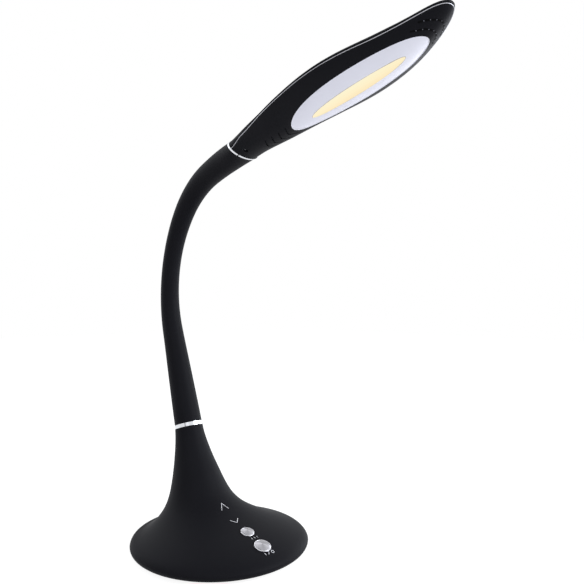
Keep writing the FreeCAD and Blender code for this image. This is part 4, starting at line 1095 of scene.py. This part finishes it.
def floor_finish():
    """White ground that still takes the lamp's shadow: part of it glows for what looks at it."""
    finish = Finish("floor_white", Roughness=0.9)
    drift = finish.noise(6.0)
    finish.feed("Base Color", finish.blend_colours(drift, (0.82, 0.82, 0.82, 1), (0.86, 0.86, 0.86, 1)))
    glow = finish.node("ShaderNodeEmission", {}, {"Color": (1, 1, 1, 1), "Strength": FLOOR_GLOW})
    mixed = finish.node("ShaderNodeMixShader", {}, {0: seen_share(finish) * FLOOR_SHARE, 2: glow})
    mix = mixed.socket.node
    finish.links.new(finish.surface.outputs[0], mix.inputs[1])
    finish.links.new(mixed.socket, finish.nodes["Material Output"].inputs["Surface"])
    return finish.material


def soft_light(name, place, size, power):
    """Large square lamp that faces the middle of the desk lamp."""
    data = bpy.data.lights.new(name, "AREA")
    data.size = size
    data.energy = power
    data.color = LIGHT_COLOUR
    lamp = bpy.data.objects.new(name, data)
    away = np.array(place) - np.array(LIGHT_TARGET)
    away /= np.linalg.norm(away)
    side = np.cross([0.0, 0.0, 1.0], away)
    side /= np.linalg.norm(side)
    lamp.matrix_world = aimed(side, np.cross(away, side), away, place)
    bpy.context.scene.collection.objects.link(lamp)


def aimed(right, up, backward, place):
    """Matrix that stands an object at a place with its own axes along three directions."""
    rows = np.stack([right, up, backward, np.array(place)], 1)
    return Matrix([*rows.tolist(), (0, 0, 0, 1)])


def surroundings(scene):
    """World that is white to the camera, in mirrors and through glass, and plain light otherwise."""
    world = bpy.data.worlds.new("surroundings")
    world.use_nodes = True
    scene.world = world
    nodes = world.node_tree.nodes
    links = world.node_tree.links
    back = nodes["Background"]
    back.inputs["Color"].default_value = (1, 1, 1, 1)
    path = nodes.new("ShaderNodeLightPath")
    seen = path.outputs["Is Camera Ray"]
    for label in ("Is Glossy Ray", "Is Transmission Ray"):
        either = nodes.new("ShaderNodeMath")
        either.operation = "MAXIMUM"
        links.new(seen, either.inputs[0])
        links.new(path.outputs[label], either.inputs[1])
        seen = either.outputs[0]
    level = nodes.new("ShaderNodeMath")
    level.operation = "MULTIPLY_ADD"
    level.inputs[1].default_value = 1.0 - WORLD_LEVEL
    level.inputs[2].default_value = WORLD_LEVEL
    links.new(seen, level.inputs[0])
    links.new(level.outputs[0], back.inputs["Strength"])


def add_camera(scene):
    """Camera from its place, heading, tilt up and slight roll."""
    azimuth, tilt, roll = (math.radians(v) for v in CAMERA_ANGLES)
    forward = np.array(
        [-math.sin(azimuth) * math.cos(tilt), math.cos(azimuth) * math.cos(tilt), math.sin(tilt)]
    )
    level = np.array([math.cos(azimuth), math.sin(azimuth), 0.0])
    upward = np.cross(level, forward)
    right = level * math.cos(roll) + upward * math.sin(roll)
    up = np.cross(right, forward)
    data = bpy.data.cameras.new("camera")
    data.sensor_width = CAMERA_SENSOR
    data.sensor_fit = "HORIZONTAL"
    data.lens = CAMERA_LENS
    camera = bpy.data.objects.new("camera", data)
    camera.matrix_world = aimed(right, up, -forward, CAMERA_PLACE)
    scene.collection.objects.link(camera)
    scene.camera = camera


class LAMP_PT_panel(bpy.types.Panel):
    """Steps of the desk lamp and its settings"""

    bl_label = "Desk lamp"
    bl_space_type = "VIEW_3D"
    bl_region_type = "UI"
    bl_category = "Lamp"

    def draw(self, context):
        for group in (context.scene.lamp_sizes, context.scene.lamp_look):
            for label in group.bl_rna.properties.keys():
                if label not in ("rna_type", "name"):
                    self.layout.prop(group, label)
        for step in OPERATORS:
            self.layout.operator(step.bl_idname)


OPERATORS = (
    LAMP_OT_foot,
    LAMP_OT_controls,
    LAMP_OT_neck,
    LAMP_OT_rings,
    LAMP_OT_head,
    LAMP_OT_light,
    LAMP_OT_stage,
)
CLASSES = (LampSizes, LampLook, *OPERATORS, LAMP_PT_panel)


def register():
    for item in CLASSES:
        bpy.utils.register_class(item)
    bpy.types.Scene.lamp_sizes = bpy.props.PointerProperty(type=LampSizes)
    bpy.types.Scene.lamp_look = bpy.props.PointerProperty(type=LampLook)


def unregister():
    del bpy.types.Scene.lamp_sizes
    del bpy.types.Scene.lamp_look
    for item in reversed(CLASSES):
        bpy.utils.unregister_class(item)


def main():
    register()
    for step in ("foot", "controls", "neck", "rings", "head", "light", "stage"):
        getattr(bpy.ops.lamp, step)()
    bpy.context.view_layer.update()


if __name__ == "__main__":
    main()
